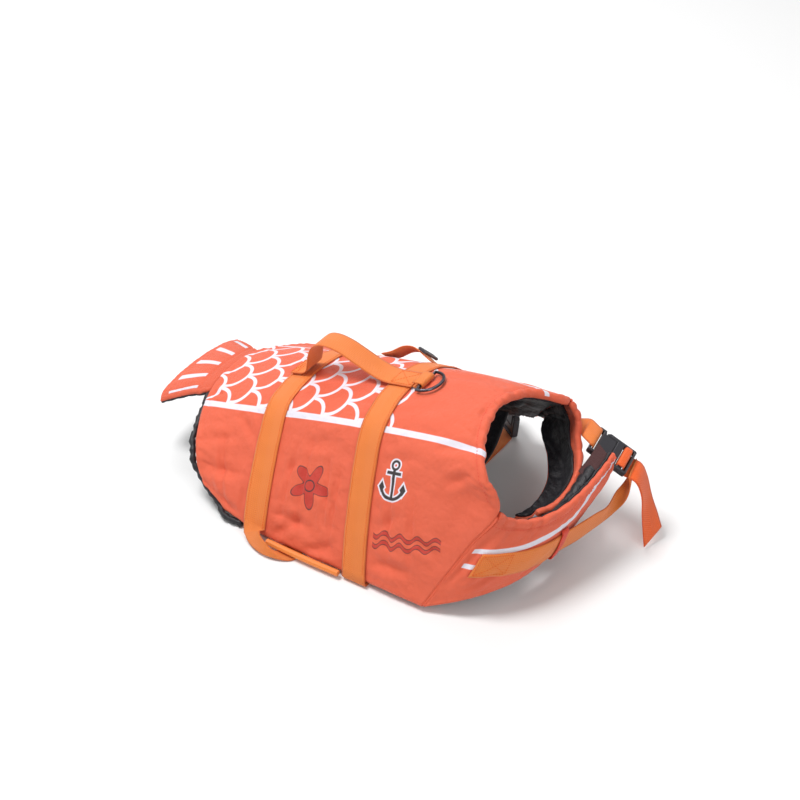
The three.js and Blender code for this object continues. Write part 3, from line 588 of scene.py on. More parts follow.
# a padded panel: the outer face is the grid, the inner one lies the padding below it, and both meet at the
# border in a rolled edge, half padding * sqrt(1 - (1 - distance / radius)^2); at a hinge the outer roll is
# tight. Beside the border the cloth puckers: round swells |sin| across the rim, a stitched groove behind them
def paddedPanel(name, grid, normals, padding, places, pucker, tight):
    borders = borderDistances(grid)
    radius = padding / 2

    # a quarter circle: sqrt(1 - (1 - distance / radius) ^ 2)
    def rolled(distance):
        return np.sqrt(np.clip(1 - (1 - np.clip(distance / radius, 0, 1)) ** 2, 0, 1))

    inwardShare = rolled(np.minimum.reduce(borders))
    outwardShare = rolled(np.minimum.reduce([d * k for d, k in zip(borders, tight)]))
    fromRear, fromFront, fromLow, fromHigh = borders
    lift = np.zeros_like(fromRear)
    for distance, alongIt, amount, k in (
        (fromFront, fromLow, pucker["front"], tight[1]), (fromRear, fromLow, pucker["rear"], tight[0]),
        (fromLow, fromRear, pucker["low"], 1), (fromHigh, fromRear, pucker["high"], 1),
    ):
        phase = math.pi * alongIt / pucker["pitch"]
        phase = phase + 1.3 * np.sin(alongIt / 19.0) + 0.8 * np.sin(alongIt / 7.3)
        swell = np.abs(np.sin(phase)) ** 0.7
        rim = np.exp(-(((distance - pucker["seam"] * 0.5) / (pucker["seam"] * 0.42)) ** 2))
        seam = np.exp(-(((distance - pucker["seam"]) / 1.6) ** 2))
        past = np.exp(-(((distance - pucker["seam"] * 1.9) / (pucker["seam"] * 0.7)) ** 2))
        here = amount * (1.5 * rim * (swell - 0.62) - 0.9 * seam + 0.75 * past * (swell - 0.55))
        lift += here * np.clip(2.2 - k, 0, 1)
    lift *= np.clip(np.minimum.reduce(borders) / 2.0, 0, 1)
    middle = grid - normals * radius
    outer = middle + normals * (radius * outwardShare + lift)[..., None]
    inner = middle - normals * (radius * inwardShare)[..., None]
    return slabObject(name, outer, inner, places, True, 2000.0), outer, inner


# body panel
bodyRows = np.array([
    [[-178, -111.5, 23], [-146, -118.5, 11], [-111, -122, 4.8], [-55, -123.5, 4.8],
     [0, -124, 4.8], [38, -124.5, 4.8], [71.5, -124, 5]],
    [[-189, -106, 34], [-151, -108.5, 32], [-116, -107, 30], [-60.5, -110, 32],
     [-5.5, -111, 35], [45, -113, 36], [86, -109, 36]],
    [[-199, -96, 47], [-159, -91.5, 51], [-121, -90, 53.5], [-66, -93.5, 60],
     [-11, -95.5, 64.5], [50, -99, 67], [101, -92, 68]],
    [[-209, -79, 58.5], [-168, -73.5, 69], [-126, -71.5, 77], [-71.5, -75.5, 86],
     [-16.5, -78, 93], [50, -82, 99], [117, -74, 100]],
    [[-218, -57, 68.5], [-175, -52, 84], [-131, -50, 97.5], [-77, -54, 110],
     [-22, -57, 119.5], [42, -64, 125], [104, -73, 124.6]],
    [[-224.5, -30, 75], [-179, -26, 90.5], [-133, -26, 103.5], [-78.5, -28, 118.5],
     [-24.5, -29, 133], [29, -33, 142.5], [82, -39, 144.5]],
    [[-227, 0, 77], [-180, 0, 92], [-133.5, 0, 105], [-79, 0, 121],
     [-25, 0, 136], [24, 0, 145], [73, 0, 149.5]],
], float)
bodyRows = np.concatenate([bodyRows, (bodyRows[4:6] * [1, -1, 1])[::-1]])
farEdge = np.array([[-180, 116, 44], [-144, 125, 34], [-111, 130, 29], [-52, 133, 32],
                    [0, 135, 36], [22, 138.5, 39], [39, 141, 41]], float)
farRows = []
for k in (1, 2, 3):
    swell = 5 * math.sin(math.pi * k / 4)
    farRows.append(bodyRows[8] + (farEdge - bodyRows[8]) * (k / 4) + [0, 0.72 * swell, 0.69 * swell])
bodyRows = np.concatenate([bodyRows, farRows, farEdge[None]])
bodySize = {"padding": 8.0, "webbing": 25.0}
stations = 6
lastRow = 12
lineCounts = {"rear": 34, "strap": 10, "middle": 38, "front": 40, "across": 190}


# stations of one row: rolled borders, both straps and even lines between them
def stationsOfRow(row):
    steps = np.linalg.norm(np.diff(row, axis=0), axis=1) * stations
    half = bodySize["webbing"] / 2

    # both edges and the middle of the strap at station s, as shares of the row
    def strap(s):
        return s / stations - half / steps[s - 1], s / stations, s / stations + half / steps[s]

    rear, front = strap(2), strap(4)
    reach = bodySize["padding"] / 2
    start = roll * reach / steps[0]
    end = 1 - (roll * reach / steps[-1])[::-1]
    c = lineCounts
    parts = [
        start[:-1], np.linspace(start[-1], rear[0], c["rear"], endpoint=False),
        np.linspace(rear[0], rear[1], c["strap"] // 2, endpoint=False),
        np.linspace(rear[1], rear[2], c["strap"] // 2, endpoint=False),
        np.linspace(rear[2], front[0], c["middle"], endpoint=False),
        np.linspace(front[0], front[1], c["strap"] // 2, endpoint=False),
        np.linspace(front[1], front[2], c["strap"] // 2, endpoint=False),
        np.linspace(front[2], end[0], c["front"], endpoint=False), end,
    ]
    return np.concatenate(parts)


rearStart = len(roll) - 1 + lineCounts["rear"]
rearLines = np.arange(rearStart, rearStart + lineCounts["strap"] + 1)
frontStart = rearStart + lineCounts["strap"] + lineCounts["middle"]
frontLines = np.arange(frontStart, frontStart + lineCounts["strap"] + 1)

rowPlaces = np.stack([stationsOfRow(row) for row in bodyRows], axis=1)
bodyLines = curveAt(bodyRows.transpose(1, 0, 2), rowPlaces)
columns = bodyLines.transpose(1, 0, 2)
nearStep = np.linalg.norm(columns[1] - columns[0], axis=-1)
farStep = np.linalg.norm(columns[-1] - columns[-2], axis=-1)
reach = bodySize["padding"] / 2
lowPlaces = roll[:, None] * reach / nearStep[None, :]
highPlaces = lastRow - (roll[:, None] * reach / farStep[None, :])[::-1]
share = np.linspace(0, 1, lineCounts["across"] + 2)[1:-1, None]
between = lowPlaces[-1:] + (highPlaces[:1] - lowPlaces[-1:]) * share
acrossPlaces = np.concatenate([lowPlaces, between, highPlaces])
bodyGrid = curveAt(columns, acrossPlaces / lastRow).transpose(1, 0, 2)

lines, across = bodyGrid.shape[:2]
spine = int(np.argmin(np.abs(acrossPlaces[:, frontLines[5]] - 6)))
sign = 1.0 if normalsOf(bodyGrid)[lines // 2, spine, 2] > 0 else -1.0
baseNormals = normalsOf(bodyGrid, sign)

# surface places: length along each row from the front strap, length across from the spine
alongU = borderDistances(bodyGrid)[0]
alongU = alongU - alongU[frontLines[5]][None, :]
alongV = borderDistances(bodyGrid)[2]
atSpine = np.array([np.interp(6, acrossPlaces[:, s], alongV[s]) for s in range(lines)])
alongV = alongV - atSpine[:, None]
bodyPlaces = np.stack([alongU, alongV], axis=-1)

bigFolds = [
    (-80, -113, 26, 34, 9, 0.25, 1.8), (-40, -116, 20, 22, 8, -0.35, 1.5), (-168, -96, 42, 34, 10, 0.5, 2),
    (42, -116, 26, 30, 9, -0.2, 1.6), (86, -88, 86, 30, 8, 1.25, 1.8), (-95, 108, 62, 34, 10, -0.25, 1.8),
    (30, 112, 72, 28, 9, 0.4, 1.6),
]
foldDepth = np.zeros((lines, across))
x, y, z = bodyGrid[..., 0], bodyGrid[..., 1], bodyGrid[..., 2]
for fx, fy, fz, long, wide, turn, depth in bigFolds:
    slope = np.hypot(y - fy, z - fz) * np.sign(z - fz)
    alongFold = (x - fx) * math.cos(turn) + slope * math.sin(turn)
    aside = -(x - fx) * math.sin(turn) + slope * math.cos(turn)
    same = np.sign(y) == math.copysign(1, fy)
    foldDepth += same * depth * np.exp(-((alongFold / long) ** 2) - (aside / wide) ** 2)

number = np.arange(lines)[:, None]
offStrap = np.minimum(np.abs(number - rearLines[5]) - 5, np.abs(number - frontLines[5]) - 5)
strapFade = np.clip(offStrap / 6.0, 0, 1)
strapFade = strapFade * strapFade * (3 - 2 * strapFade)

# creases: u0, v0, u1, v1, half width, depth (negative v is the right side)
bodyCreases = [
    (-96, -176, -60, -150, 4.5, 1.0), (-88, -150, -52, -160, 4.0, 0.9), (-92, -118, -70, -96, 4.0, 0.7),
    (-22, -172, -58, -182, 4.5, 1.0), (-26, -140, -48, -120, 3.6, 0.6), (-70, -84, -34, -78, 5.0, 0.6),
    (16, -176, 58, -186, 5.0, 1.1), (18, -150, 44, -130, 4.4, 0.8), (60, -150, 84, -168, 4.5, 1.0),
    (86, -96, 112, -82, 4.0, 1.0), (70, -66, 108, -58, 4.4, 0.8), (20, -88, 52, -80, 5.0, 0.6),
    (-132, -160, -160, -146, 4.6, 1.1), (-138, -122, -176, -120, 5.0, 1.1), (-150, -88, -186, -96, 4.4, 0.8),
    (-128, -86, -150, -66, 3.8, 0.7), (-182, -44, -206, -50, 3.6, 0.7), (92, -20, 104, 14, 4.0, 0.6),
    (-96, 158, -62, 140, 4.5, 1.0), (-88, 128, -54, 118, 4.2, 0.8), (-24, 156, -56, 164, 4.5, 1.0),
    (18, 150, 46, 136, 4.6, 0.9), (20, 108, 50, 96, 4.4, 0.7), (-132, 140, -164, 128, 4.8, 1.1),
    (-146, 96, -182, 104, 4.6, 0.9), (62, 76, 96, 66, 4.4, 0.8), (-190, 40, -208, 52, 3.6, 0.7),
    (-78, -84, -86, -152, 2.6, 0.9), (-62, -80, -68, -160, 2.8, 0.85), (-40, -92, -36, -156, 2.6, 0.85),
    (-26, -100, -30, -172, 2.6, 0.9), (30, -104, 34, -172, 2.8, 0.9), (54, -112, 58, -178, 2.8, 0.85),
    (-122, -92, -128, -152, 2.8, 0.9), (-162, -88, -150, -150, 3.0, 0.9), (-74, 80, -80, 146, 2.8, 0.85),
    (-36, 86, -34, 150, 2.6, 0.85), (32, 90, 36, 150, 2.8, 0.85), (-124, 88, -128, 148, 2.8, 0.9),
    (-70, 40, -30, 34, 6.0, 0.5), (30, 20, 70, 30, 6.0, 0.5), (30, -34, 62, -24, 6.0, 0.45),
]
bodyRelief = {"creases": 2.4, "uneven": 0.5, "unevenLength": 46.0, "ripple": 0.9, "ripplePitch": 15.0,
              "rippleMiddle": 6, "rippleReach": 11.0, "swell": 0.54}
small = bodyRelief["creases"] * creaseDepth(alongU, alongV, bodyCreases)
small -= bodyRelief["uneven"] * unevenness(alongU, alongV, bodyRelief["unevenLength"], 1.3)
# stitching down the webbing draws the cloth into short ripples square to it
for lineOfStrap in (rearLines[5], frontLines[5]):
    beside = np.abs(alongU - alongU[lineOfStrap][None, :]) - bodySize["webbing"] / 2
    phase = math.pi * alongV / bodyRelief["ripplePitch"] + 1.6 * np.sin(alongV / 29.0) + 0.01 * alongU
    ripple = np.abs(np.sin(phase)) ** 0.8
    near = np.exp(-((beside - bodyRelief["rippleMiddle"]) / bodyRelief["rippleReach"]) ** 2)
    small += np.where(beside > 0, bodyRelief["ripple"] * (0.6 - ripple) * near, 0)
# the padding swells between the straps and is pressed in under them
relief = (bodyRelief["swell"] - foldDepth - small) * strapFade
edgeFade = np.clip(np.minimum.reduce(borderDistances(bodyGrid)) / 6.0, 0, 1)
bodyGrid = bodyGrid + baseNormals * (relief * edgeFade)[..., None]
bodyNormals = heldNormals(bodyGrid, sign)

# the neckline itself wavers in and out where the binding gathers it
neckGather = {"amount": 1.5, "pitch": 13.0, "reach": 7.0, "fromRow": 3.3, "toRow": 7.7}
fromFront = borderDistances(bodyGrid)[1]
onward = np.gradient(bodyGrid, axis=0)
onward /= np.linalg.norm(onward, axis=-1, keepdims=True)
phase = math.pi * alongV / neckGather["pitch"] + 1.3 * np.sin(alongV / 19.0) + 0.8 * np.sin(alongV / 7.3)
gather = neckGather["amount"] * (np.abs(np.sin(phase)) ** 0.7 - 0.6)
row = acrossPlaces.T
neckPart = np.clip((row - neckGather["fromRow"]) / 0.3, 0, 1)
neckPart = neckPart * np.clip((neckGather["toRow"] - row) / 0.3, 0, 1)
gather = gather * neckPart * np.exp(-(fromFront / neckGather["reach"]) ** 2)
bodyGrid = bodyGrid + onward * gather[..., None]

bodyPucker = {"seam": 9.0, "pitch": 13.0, "front": 1.35, "rear": 0.7, "low": 0.35, "high": 0.4}
hingeTightness = 2.8
# 1 along the neck, the hinge tightness where the chest arms join on (rows below 3 and above 8)
hinged = np.maximum(np.clip((3.1 - row) / 0.3, 0, 1), np.clip((row - 7.9) / 0.3, 0, 1))
bodyPanel, bodyOuter, bodyInner = paddedPanel(
    "body_panel", bodyGrid, bodyNormals, bodySize["padding"], bodyPlaces, bodyPucker,
    (1, 1 + (hingeTightness - 1) * hinged, 1, 1))
finished(bodyPanel, ["body_shell"], bodyCloth)
print("body panel", len(bodyPanel.data.polygons))

liningSize = {"gap": 0.3, "thickness": 1.0, "fold": 0.7, "foldLength": 50.0, "fine": 0.5, "fineLength": 21.0,
              "scallop": 12.0, "scallopReach": 6.0, "upperLowest": 0.35, "lowest": 0.1}


# lining: the inner face moved in by the gap, with fine drag folds and a scalloped edge; it is a cut sheet
def liningPiece(name, inner, normals, replaced, skip=(2, 5, 2, 2), folds=1.0):
    rows, columns = inner.shape[:2]
    rear, front, low, high = skip
    face = inner[rear:rows - front, low:columns - high]
    out = normals[rear:rows - front, low:columns - high]
    fromRear, fromFront, fromLow, fromHigh = borderDistances(face)
    nearest = np.minimum.reduce([fromRear, fromFront, fromLow, fromHigh])
    alongIt = fromRear + fromLow
    s = liningSize
    soft = s["fold"] * unevenness(fromRear, fromLow, s["foldLength"], 0.7)
    soft += s["fine"] * unevenness(fromRear, fromLow * 0.5, s["fineLength"], 1.9)
    soft *= np.clip(nearest / 12, 0, 1) * folds
    wave = (np.abs(np.sin(math.pi * alongIt / s["scallop"])) - 0.5) * np.exp(-nearest / s["scallopReach"])
    rise = np.maximum(soft + wave + 0.5, 0)[..., None]
    upper = face - out * s["gap"]
    lower = face - out * (s["gap"] + s["thickness"] + rise)
    upper[..., 2] = np.maximum(upper[..., 2], s["upperLowest"])
    lower[..., 2] = np.maximum(lower[..., 2], s["lowest"])
    piece = slabObject(name, upper, lower, np.stack([fromRear, fromLow], axis=-1))
    finished(piece, replaced, liningCloth)


# a round cord along a path: circle of the radius in the plane square to the path, wavy by the given amount
def pipedEdge(name, path, radius, paint, wave=0.0, sides=10):
    ahead = np.gradient(path, axis=0)
    ahead /= np.linalg.norm(ahead, axis=-1, keepdims=True)
    first = np.cross(ahead, [0.0, 0.0, 1.0])
    first /= np.maximum(np.linalg.norm(first, axis=-1, keepdims=True), 1e-9)
    second = np.cross(first, ahead)
    run = np.concatenate([[0], np.cumsum(np.linalg.norm(np.diff(path, axis=0), axis=1))])
    size = radius * (1 + wave * np.sin(math.tau * run / 9.0 + np.sin(run / 17.0)))
    size[[0, -1]] *= 0.4
    angle = np.linspace(0, math.tau, sides, endpoint=False)
    ring = (np.cos(angle)[None, :, None] * first[:, None] + np.sin(angle)[None, :, None] * second[:, None])
    points = path[:, None] + ring * size[:, None, None]
    count = len(path)
    index = np.arange(count * sides).reshape(count, sides)
    around = np.roll(index, -1, axis=1)
    faces = np.stack([index[:-1], index[1:], around[1:], around[:-1]], axis=-1).reshape(-1, 4).tolist()
    faces += [index[0].tolist(), index[-1][::-1].tolist()]
    mesh = bpy.data.meshes.new(name)
    mesh.from_pydata((points.reshape(-1, 3) * mm).tolist(), [], faces)
    mesh.polygons.foreach_set("use_smooth", np.full(len(faces), True))
    made = bpy.data.objects.new(name, mesh)
    bpy.context.scene.collection.objects.link(made)
    return finished(made, None, paint)


liningPiece("inner_lining", bodyInner, bodyNormals, ["body_lining"], (2, 7, 2, 2))
# the lining's turned edge shows below the rear border and both lower rear corners
rearEdge = (bodyOuter[0] + bodyInner[0]) / 2
lowEdge = (bodyOuter[:, 0] + bodyInner[:, 0]) / 2
highEdge = (bodyOuter[:, -1] + bodyInner[:, -1]) / 2
binding = {"nearEnd": -130.0, "farEnd": -126.0, "out": 3.1, "in": 1.7, "cornerOut": 1.7, "cornerIn": -1.2,
           "radius": 2.9, "wave": 0.2, "lowest": 3.3}
corner = int(np.searchsorted(alongU[:, 0], binding["nearEnd"]))
farCorner = int(np.searchsorted(alongU[:, -1], binding["farEnd"]))
bindPath = np.concatenate([lowEdge[corner:0:-1], rearEdge, highEdge[1:farCorner]])
bindOut = np.concatenate([bodyNormals[corner:0:-1, 0], bodyNormals[0], bodyNormals[1:farCorner, -1]])
away = np.concatenate([lowEdge[corner:0:-1] - bodyGrid[corner:0:-1, 9], rearEdge - bodyGrid[9],
                       highEdge[1:farCorner] - bodyGrid[1:farCorner, -10]])
away -= (away * bindOut).sum(axis=-1, keepdims=True) * bindOut
away /= np.linalg.norm(away, axis=-1, keepdims=True)
# it stands out more round the lower near corner
atCorner = np.clip((-60 - bindPath[:, 1]) / 30, 0, 1)[:, None]
bindPath = bindPath + away * (binding["out"] + binding["cornerOut"] * atCorner)
bindPath -= bindOut * (binding["in"] + binding["cornerIn"] * atCorner)
bindPath[:, 2] = np.maximum(bindPath[:, 2], binding["lowest"])
for _ in range(3):
    bindPath[1:-1] = (bindPath[:-2] + 2 * bindPath[1:-1] + bindPath[2:]) / 4
pipedEdge("rear_binding", bindPath[::2], binding["radius"], liningCloth, binding["wave"])
print("lining")

# chest arms
armSize = {"padding": 6.4, "alongCount": 96, "acrossCount": 46, "hingeFade": 0.3, "fullWidth": 38.0,
           "uneven": 0.25, "unevenLength": 40.0, "waver": 1.2, "edgeFade": 6.0}
nearArmTable = [
    ((71.8, -124, 5), (117.5, -73.5, 100.5), 0), ((103, -108, 15.5), (124, -65, 90), 5),
    ((119, -90, 18), (132, -54, 83), 6), ((132, -67, 20), (140, -39, 78.5), 6),
    ((139.5, -36, 21), (148, -20, 76.5), 5), ((142, -4, 24), (154, 2, 77.5), 4),
    ((152, 27, 49), (158, 26, 83), 2), ((157, 45, 63), (160, 46, 89), 1),
    ((159.5, 58, 77), (160.5, 60, 93), 0),
]
farArmTable = [
    ((39.3, 141.2, 41), (104.5, 73.6, 124.3), 0), ((59, 119, 51), (115.5, 75, 107), 1),
    ((71, 88, 62), (122.6, 66, 90.5), -3), ((90.5, 63, 57), (131, 54, 83), -7),
    ((104, 38, 51), (138, 39, 78), -10), ((110, 12, 51), (141, 16, 72), -10),
    ((111, -10, 50), (139, -8, 70), -8), ((107, -28, 50), (131, -26, 70), -5),
]


# sum of the steps between points
def lengthOf(points):
    return np.linalg.norm(np.diff(points, axis=0), axis=1).sum()


# places 0..1 with rolled borders at both ends
def rolledPlaces(length, reach, count):
    start = roll * reach / length
    return np.concatenate([start, np.linspace(start[-1], 1 - start[-1], count + 2)[1:-1], (1 - start)[::-1]])


# the body's front border between two rows, moved forward by the seam
def hingeLine(firstRow, lastRowUsed, seam):
    edge = (bodyOuter[-1] + bodyInner[-1]) / 2
    place = acrossPlaces[:, -1]
    lowest, highest = min(firstRow, lastRowUsed), max(firstRow, lastRowUsed)
    kept = (place >= lowest) & (place <= highest)
    forward = edge - (bodyOuter[-8] + bodyInner[-8]) / 2
    forward /= np.linalg.norm(forward, axis=-1, keepdims=True)
    line = (edge + forward * seam)[kept]
    return line[::-1] if firstRow > lastRowUsed else line


# a chest arm: its low and high edges are curves through the table's rows, joined by straight lines that swell
# outward by swell * sin(pi v); the first lines are drawn to the hinge with a weight of (1 - u / fade) ^ 2
def chestArm(name, table, hinge, outward, pucker, creases, replaced, liningName, liningReplaced, skip):
    low = np.array([row[0] for row in table], float)
    high = np.array([row[1] for row in table], float)
    swells = np.array([row[2] for row in table], float)
    t = np.linspace(0, 1, 200)
    length = (lengthOf(curveAt(low, t)) + lengthOf(curveAt(high, t))) / 2
    us = rolledPlaces(length, armSize["padding"] / 2, armSize["alongCount"])
    a, b = curveAt(low, us), curveAt(high, us)
    tangent = np.gradient(a, axis=0) + np.gradient(b, axis=0)
    out = np.cross(tangent, b - a)
    out /= np.linalg.norm(out, axis=-1, keepdims=True)
    swell = np.interp(us * (len(table) - 1), np.arange(len(table)), swells)
    width = np.linalg.norm(b - a, axis=-1).mean()
    vs = rolledPlaces(width, armSize["padding"] / 2, armSize["acrossCount"])
    grid = a[:, None] + (b - a)[:, None] * vs[None, :, None]
    grid = grid + out[:, None] * (swell[:, None] * np.sin(math.pi * vs)[None, :])[..., None]
    middle = normalsOf(grid)[len(us) // 2, len(vs) // 2]
    turn = 1.0 if middle @ outward > 0 else -1.0
    core = grid - heldNormals(grid, turn) * (armSize["padding"] / 2)
    # fit the first lines to the hinge, fading along the arm
    travelled = np.concatenate([[0], np.cumsum(np.linalg.norm(np.diff(hinge, axis=0), axis=1))])
    onHinge = np.stack([np.interp(vs * travelled[-1], travelled, hinge[:, k]) for k in range(3)], axis=-1)
    fade = np.clip(1 - us / armSize["hingeFade"], 0, 1) ** 2
    core = core + (onHinge - core[0])[None] * fade[:, None, None]
    normals = heldNormals(core, turn)
    face = core + normals * (armSize["padding"] / 2)
    fromRear, fromFront, fromLow, fromHigh = borderDistances(face)
    places = np.stack([fromRear, fromLow - fromLow[:, -1:] / 2], axis=-1)
    relief = -creaseDepth(places[..., 0], places[..., 1], creases)
    relief -= armSize["uneven"] * unevenness(fromRear, fromLow, armSize["unevenLength"], 2.1)
    edge = np.clip(np.minimum.reduce([fromRear, fromFront, fromLow, fromHigh]) / armSize["edgeFade"], 0, 1)
    face = face + normals * (relief * edge)[..., None]
    # the gathered upper edge wavers
    alongEdge, _, _, belowEdge = borderDistances(face)
    upward = np.gradient(face, axis=1)
    upward /= np.linalg.norm(upward, axis=-1, keepdims=True)
    phase = math.pi * alongEdge / pucker["pitch"] + 1.3 * np.sin(alongEdge / 19.0)
    waver = np.abs(np.sin(phase)) ** 0.7 - 0.6
    waver *= armSize["waver"] * np.exp(-(belowEdge / armSize["edgeFade"]) ** 2)
    face = face + upward * waver[..., None]
    # for the print, the length is the share along the arm, and the width counts for more where the arm
    # narrows, so that the stripes taper to its tip and end square
    counted = np.maximum(np.linalg.norm(b - a, axis=-1), armSize["fullWidth"])
    printed = np.stack(np.broadcast_arrays((us * length)[:, None], counted[:, None] * (vs - 0.5)), axis=-1)
    piece, outer, inner = paddedPanel(
        name, face, normals, armSize["padding"], printed, pucker, (hingeTightness, 1, 1, 1))
    finished(piece, replaced, armCloth)
    liningPiece(liningName, inner, normals, liningReplaced, skip, 0.7)
    return {"face": face, "normals": normals, "outer": outer, "us": us, "vs": vs}


rightPucker = {"seam": 8.0, "pitch": 13.0, "front": 0.5, "rear": 0.0, "low": 0.35, "high": 1.1}
leftPucker = {"seam": 8.0, "pitch": 13.0, "front": 0.4, "rear": 0.0, "low": 0.3, "high": 1.2}
rightCreases = [
    (6, -30, 10, 26, 3.6, 1.6), (26, -34, 44, -8, 4.0, 1.2), (40, 24, 62, 14, 3.6, 0.9),
    (80, -22, 104, -8, 3.8, 1.0), (118, 12, 146, 18, 3.6, 0.8), (150, -10, 176, -4, 3.2, 0.8),
]
leftCreases = [
    (8, -30, 12, 28, 3.6, 1.2), (30, 10, 52, 22, 3.6, 0.9), (66, -16, 92, -8, 3.8, 0.8),
    (104, 10, 130, 4, 3.4, 0.7),
]
rightArm = chestArm(
    "chest_arm_outer_right", nearArmTable, hingeLine(0, 3, 0.7), np.array([0.9, -0.4, 0]), rightPucker,
    rightCreases, ["chest_arm_right"], "arm_lining_right", ["chest_arm_right_lining"], (5, 5, 4, 2))
leftArm = chestArm(
    "chest_arm_inner_left", farArmTable, hingeLine(12, 8, 0.9), np.array([0.9, 0.4, 0]), leftPucker,
    leftCreases, ["chest_arm_left"], "arm_lining_left", ["chest_arm_left_lining"], (5, 5, 4, 12))
print("chest arms")

# tail fin
tailSize = {"padding": 4.5, "crease": 0.24, "depth": 1.3, "long": 60, "wide": 110, "length": 50, "width": 100,
            "rise": 2, "rays": 3.5, "rayDepth": 0.175}
tailEdge = np.array([[-268, -62, 55.5], [-273.5, -52, 56.5], [-276.5, -27, 59], [-277, 0, 60],
                     [-276.5, 27, 59], [-273.5, 52, 56.5], [-268, 62, 55.5]], float)
tailBase = np.array([[-222.7, -39, 71.4], [-225.7, -20, 73.6], [-226.4, 0, 74.2],
                     [-225.7, 20, 73.6], [-222.7, 39, 71.4]], float)
us = rolledPlaces(tailSize["length"], tailSize["padding"] / 2, tailSize["long"])
ws = rolledPlaces(tailSize["width"], tailSize["padding"] / 2, tailSize["wide"])
base, tip = curveAt(tailBase, ws), curveAt(tailEdge, ws)
tailGrid = base[None] + (tip - base)[None] * us[:, None, None]
wide = ws * 2 - 1
tailPlaces = np.stack(np.broadcast_arrays(us[:, None] * tailSize["length"], wide[None] * 100), axis=-1)
seamDip = tailSize["depth"] * np.exp(-(((us - tailSize["crease"]) / 0.045) ** 2))
rayDip = tailSize["rayDepth"] * np.cos(math.tau * wide * tailSize["rays"])[None]
rayDip = rayDip * np.clip((us[:, None] - 0.3) * 4, 0, 1)
tailGrid[..., 2] += (tailSize["rise"] * np.sin(math.pi * us) - seamDip)[:, None] + rayDip
tailUneven = 0.5 * unevenness(tailPlaces[..., 0], tailPlaces[..., 1] * 0.5, 34.0, 0.4)
tailGrid[..., 2] += tailUneven * np.sin(math.pi * us)[:, None]
tailTurn = 1.0 if normalsOf(tailGrid)[30, 60, 2] > 0 else -1.0
tailNormals = normalsOf(tailGrid, tailTurn)
tailPucker = {"seam": 5.0, "pitch": 7.0, "front": 0.35, "rear": 0.0, "low": 0.35, "high": 0.35}
tail, _, tailInner = paddedPanel(
    "tail_panel", tailGrid, tailNormals, tailSize["padding"], tailPlaces, tailPucker, (1, 1, 1, 1))
finished(tail, ["tail_fin"], tailCloth)
liningPiece("tail_backing", tailInner, tailNormals, ["tail_underside"], (5, 1, 1, 1), 0.4)
print("tail")

# webbing
tape = {"width": 25.0, "thickness": 1.3, "lift": 0.45, "clear": 0.55, "across": 10}


# webbing from its middle rows and normals: full in the middle, thinner at both borders
def tapeObject(name, middle, normals, replaced, paint=None):
    half = tape["thickness"] / 2
    across = middle.shape[1]
    side = np.linspace(-1, 1, across)
    profile = half * (1 - 0.35 * np.abs(side) ** 6)
    step = np.linalg.norm(np.diff(middle, axis=0), axis=-1).mean(axis=1)
    run = np.concatenate([[0], np.cumsum(step)])
    width = np.linalg.norm(middle[:, -1] - middle[:, 0], axis=-1).mean()
    places = np.stack(np.broadcast_arrays(run[:, None], side[None] * width / 2), axis=-1)
    upper = middle + normals * profile[None, :, None]
    lower = middle - normals * profile[None, :, None]
    upper[..., 2] = np.maximum(upper[..., 2], 0.05)
    lower[..., 2] = np.maximum(lower[..., 2], 0)
    piece = slabObject(name, upper, lower, places)
    return finished(piece, replaced, paint or webbing)


# straight rows between two edge curves, with normals square to the rows and to their run
def tapeRows(table, count):
    left = curveAt(np.array([row[0] for row in table], float), np.linspace(0, 1, count + 1))
    right = curveAt(np.array([row[1] for row in table], float), np.linspace(0, 1, count + 1))
    side = np.linspace(0, 1, tape["across"] + 1)
    middle = left[:, None] + (right - left)[:, None] * side[None, :, None]
    tangent = np.gradient(left, axis=0) + np.gradient(right, axis=0)
    normal = np.cross(tangent, right - left)
    normal /= np.linalg.norm(normal, axis=-1, keepdims=True)
    return middle, np.broadcast_to(normal[:, None], middle.shape).copy()


# the part of a girth strap on the body: its lines there, moved out
def strapOnBody(lineNumbers):
    face = bodyGrid[lineNumbers].transpose(1, 0, 2)[7:-7]
    out = bodyNormals[lineNumbers].transpose(1, 0, 2)[7:-7]
    wave = 0.12 * np.sin(np.arange(len(face)) * 0.5)[:, None, None]
    return face + out * (tape["lift"] + tape["thickness"] / 2 + wave), out


# one row of webbing across x, leaning by the given share in y, with its normal turned in the y-z plane
def tableRow(x, y, z, turn, lean=0.0):
    half = tape["width"] / 2 / math.hypot(1, lean)
    offsets = np.linspace(-half, half, tape["across"] + 1)
    place = np.stack([x + offsets, y + offsets * lean, np.full_like(offsets, z)], axis=-1)
    normal = np.array([0, -math.cos(turn), -math.sin(turn)])
    return place, np.broadcast_to(normal, place.shape)


# joins rows and smooths them by (before + 2 * own + after) / 4 where the strap leaves the cloth
def joinRows(parts, smoothing=0):
    middle = np.concatenate([p[0] for p in parts])
    normals = np.concatenate([p[1] for p in parts])
    for _ in range(smoothing):
        middle[1:-1] = (middle[:-2] + 2 * middle[1:-1] + middle[2:]) / 4
        normals[1:-1] = (normals[:-2] + 2 * normals[1:-1] + normals[2:]) / 4
    normals /= np.linalg.norm(normals, axis=-1, keepdims=True)
    return middle, normals


low = tape["thickness"] / 2
quarter = math.pi / 2
frontUnder = [(2, 141, low, quarter, -0.66), (1, 120, low, quarter, -0.3), (0, 100, low, quarter, 0),
              (0, 62, low, quarter, 0), (0, 0, low, quarter, 0), (0, -80, low, quarter, 0),
              (1.5, -121, low, quarter, 0), (2, -124.6, 1.6, 0.9, 0), (2, -126.2, 4.2, 0.25, 0)]
underRows = [tableRow(*row) for row in frontUnder]
under = (np.stack([r[0] for r in underRows]), np.stack([r[1] for r in underRows]))


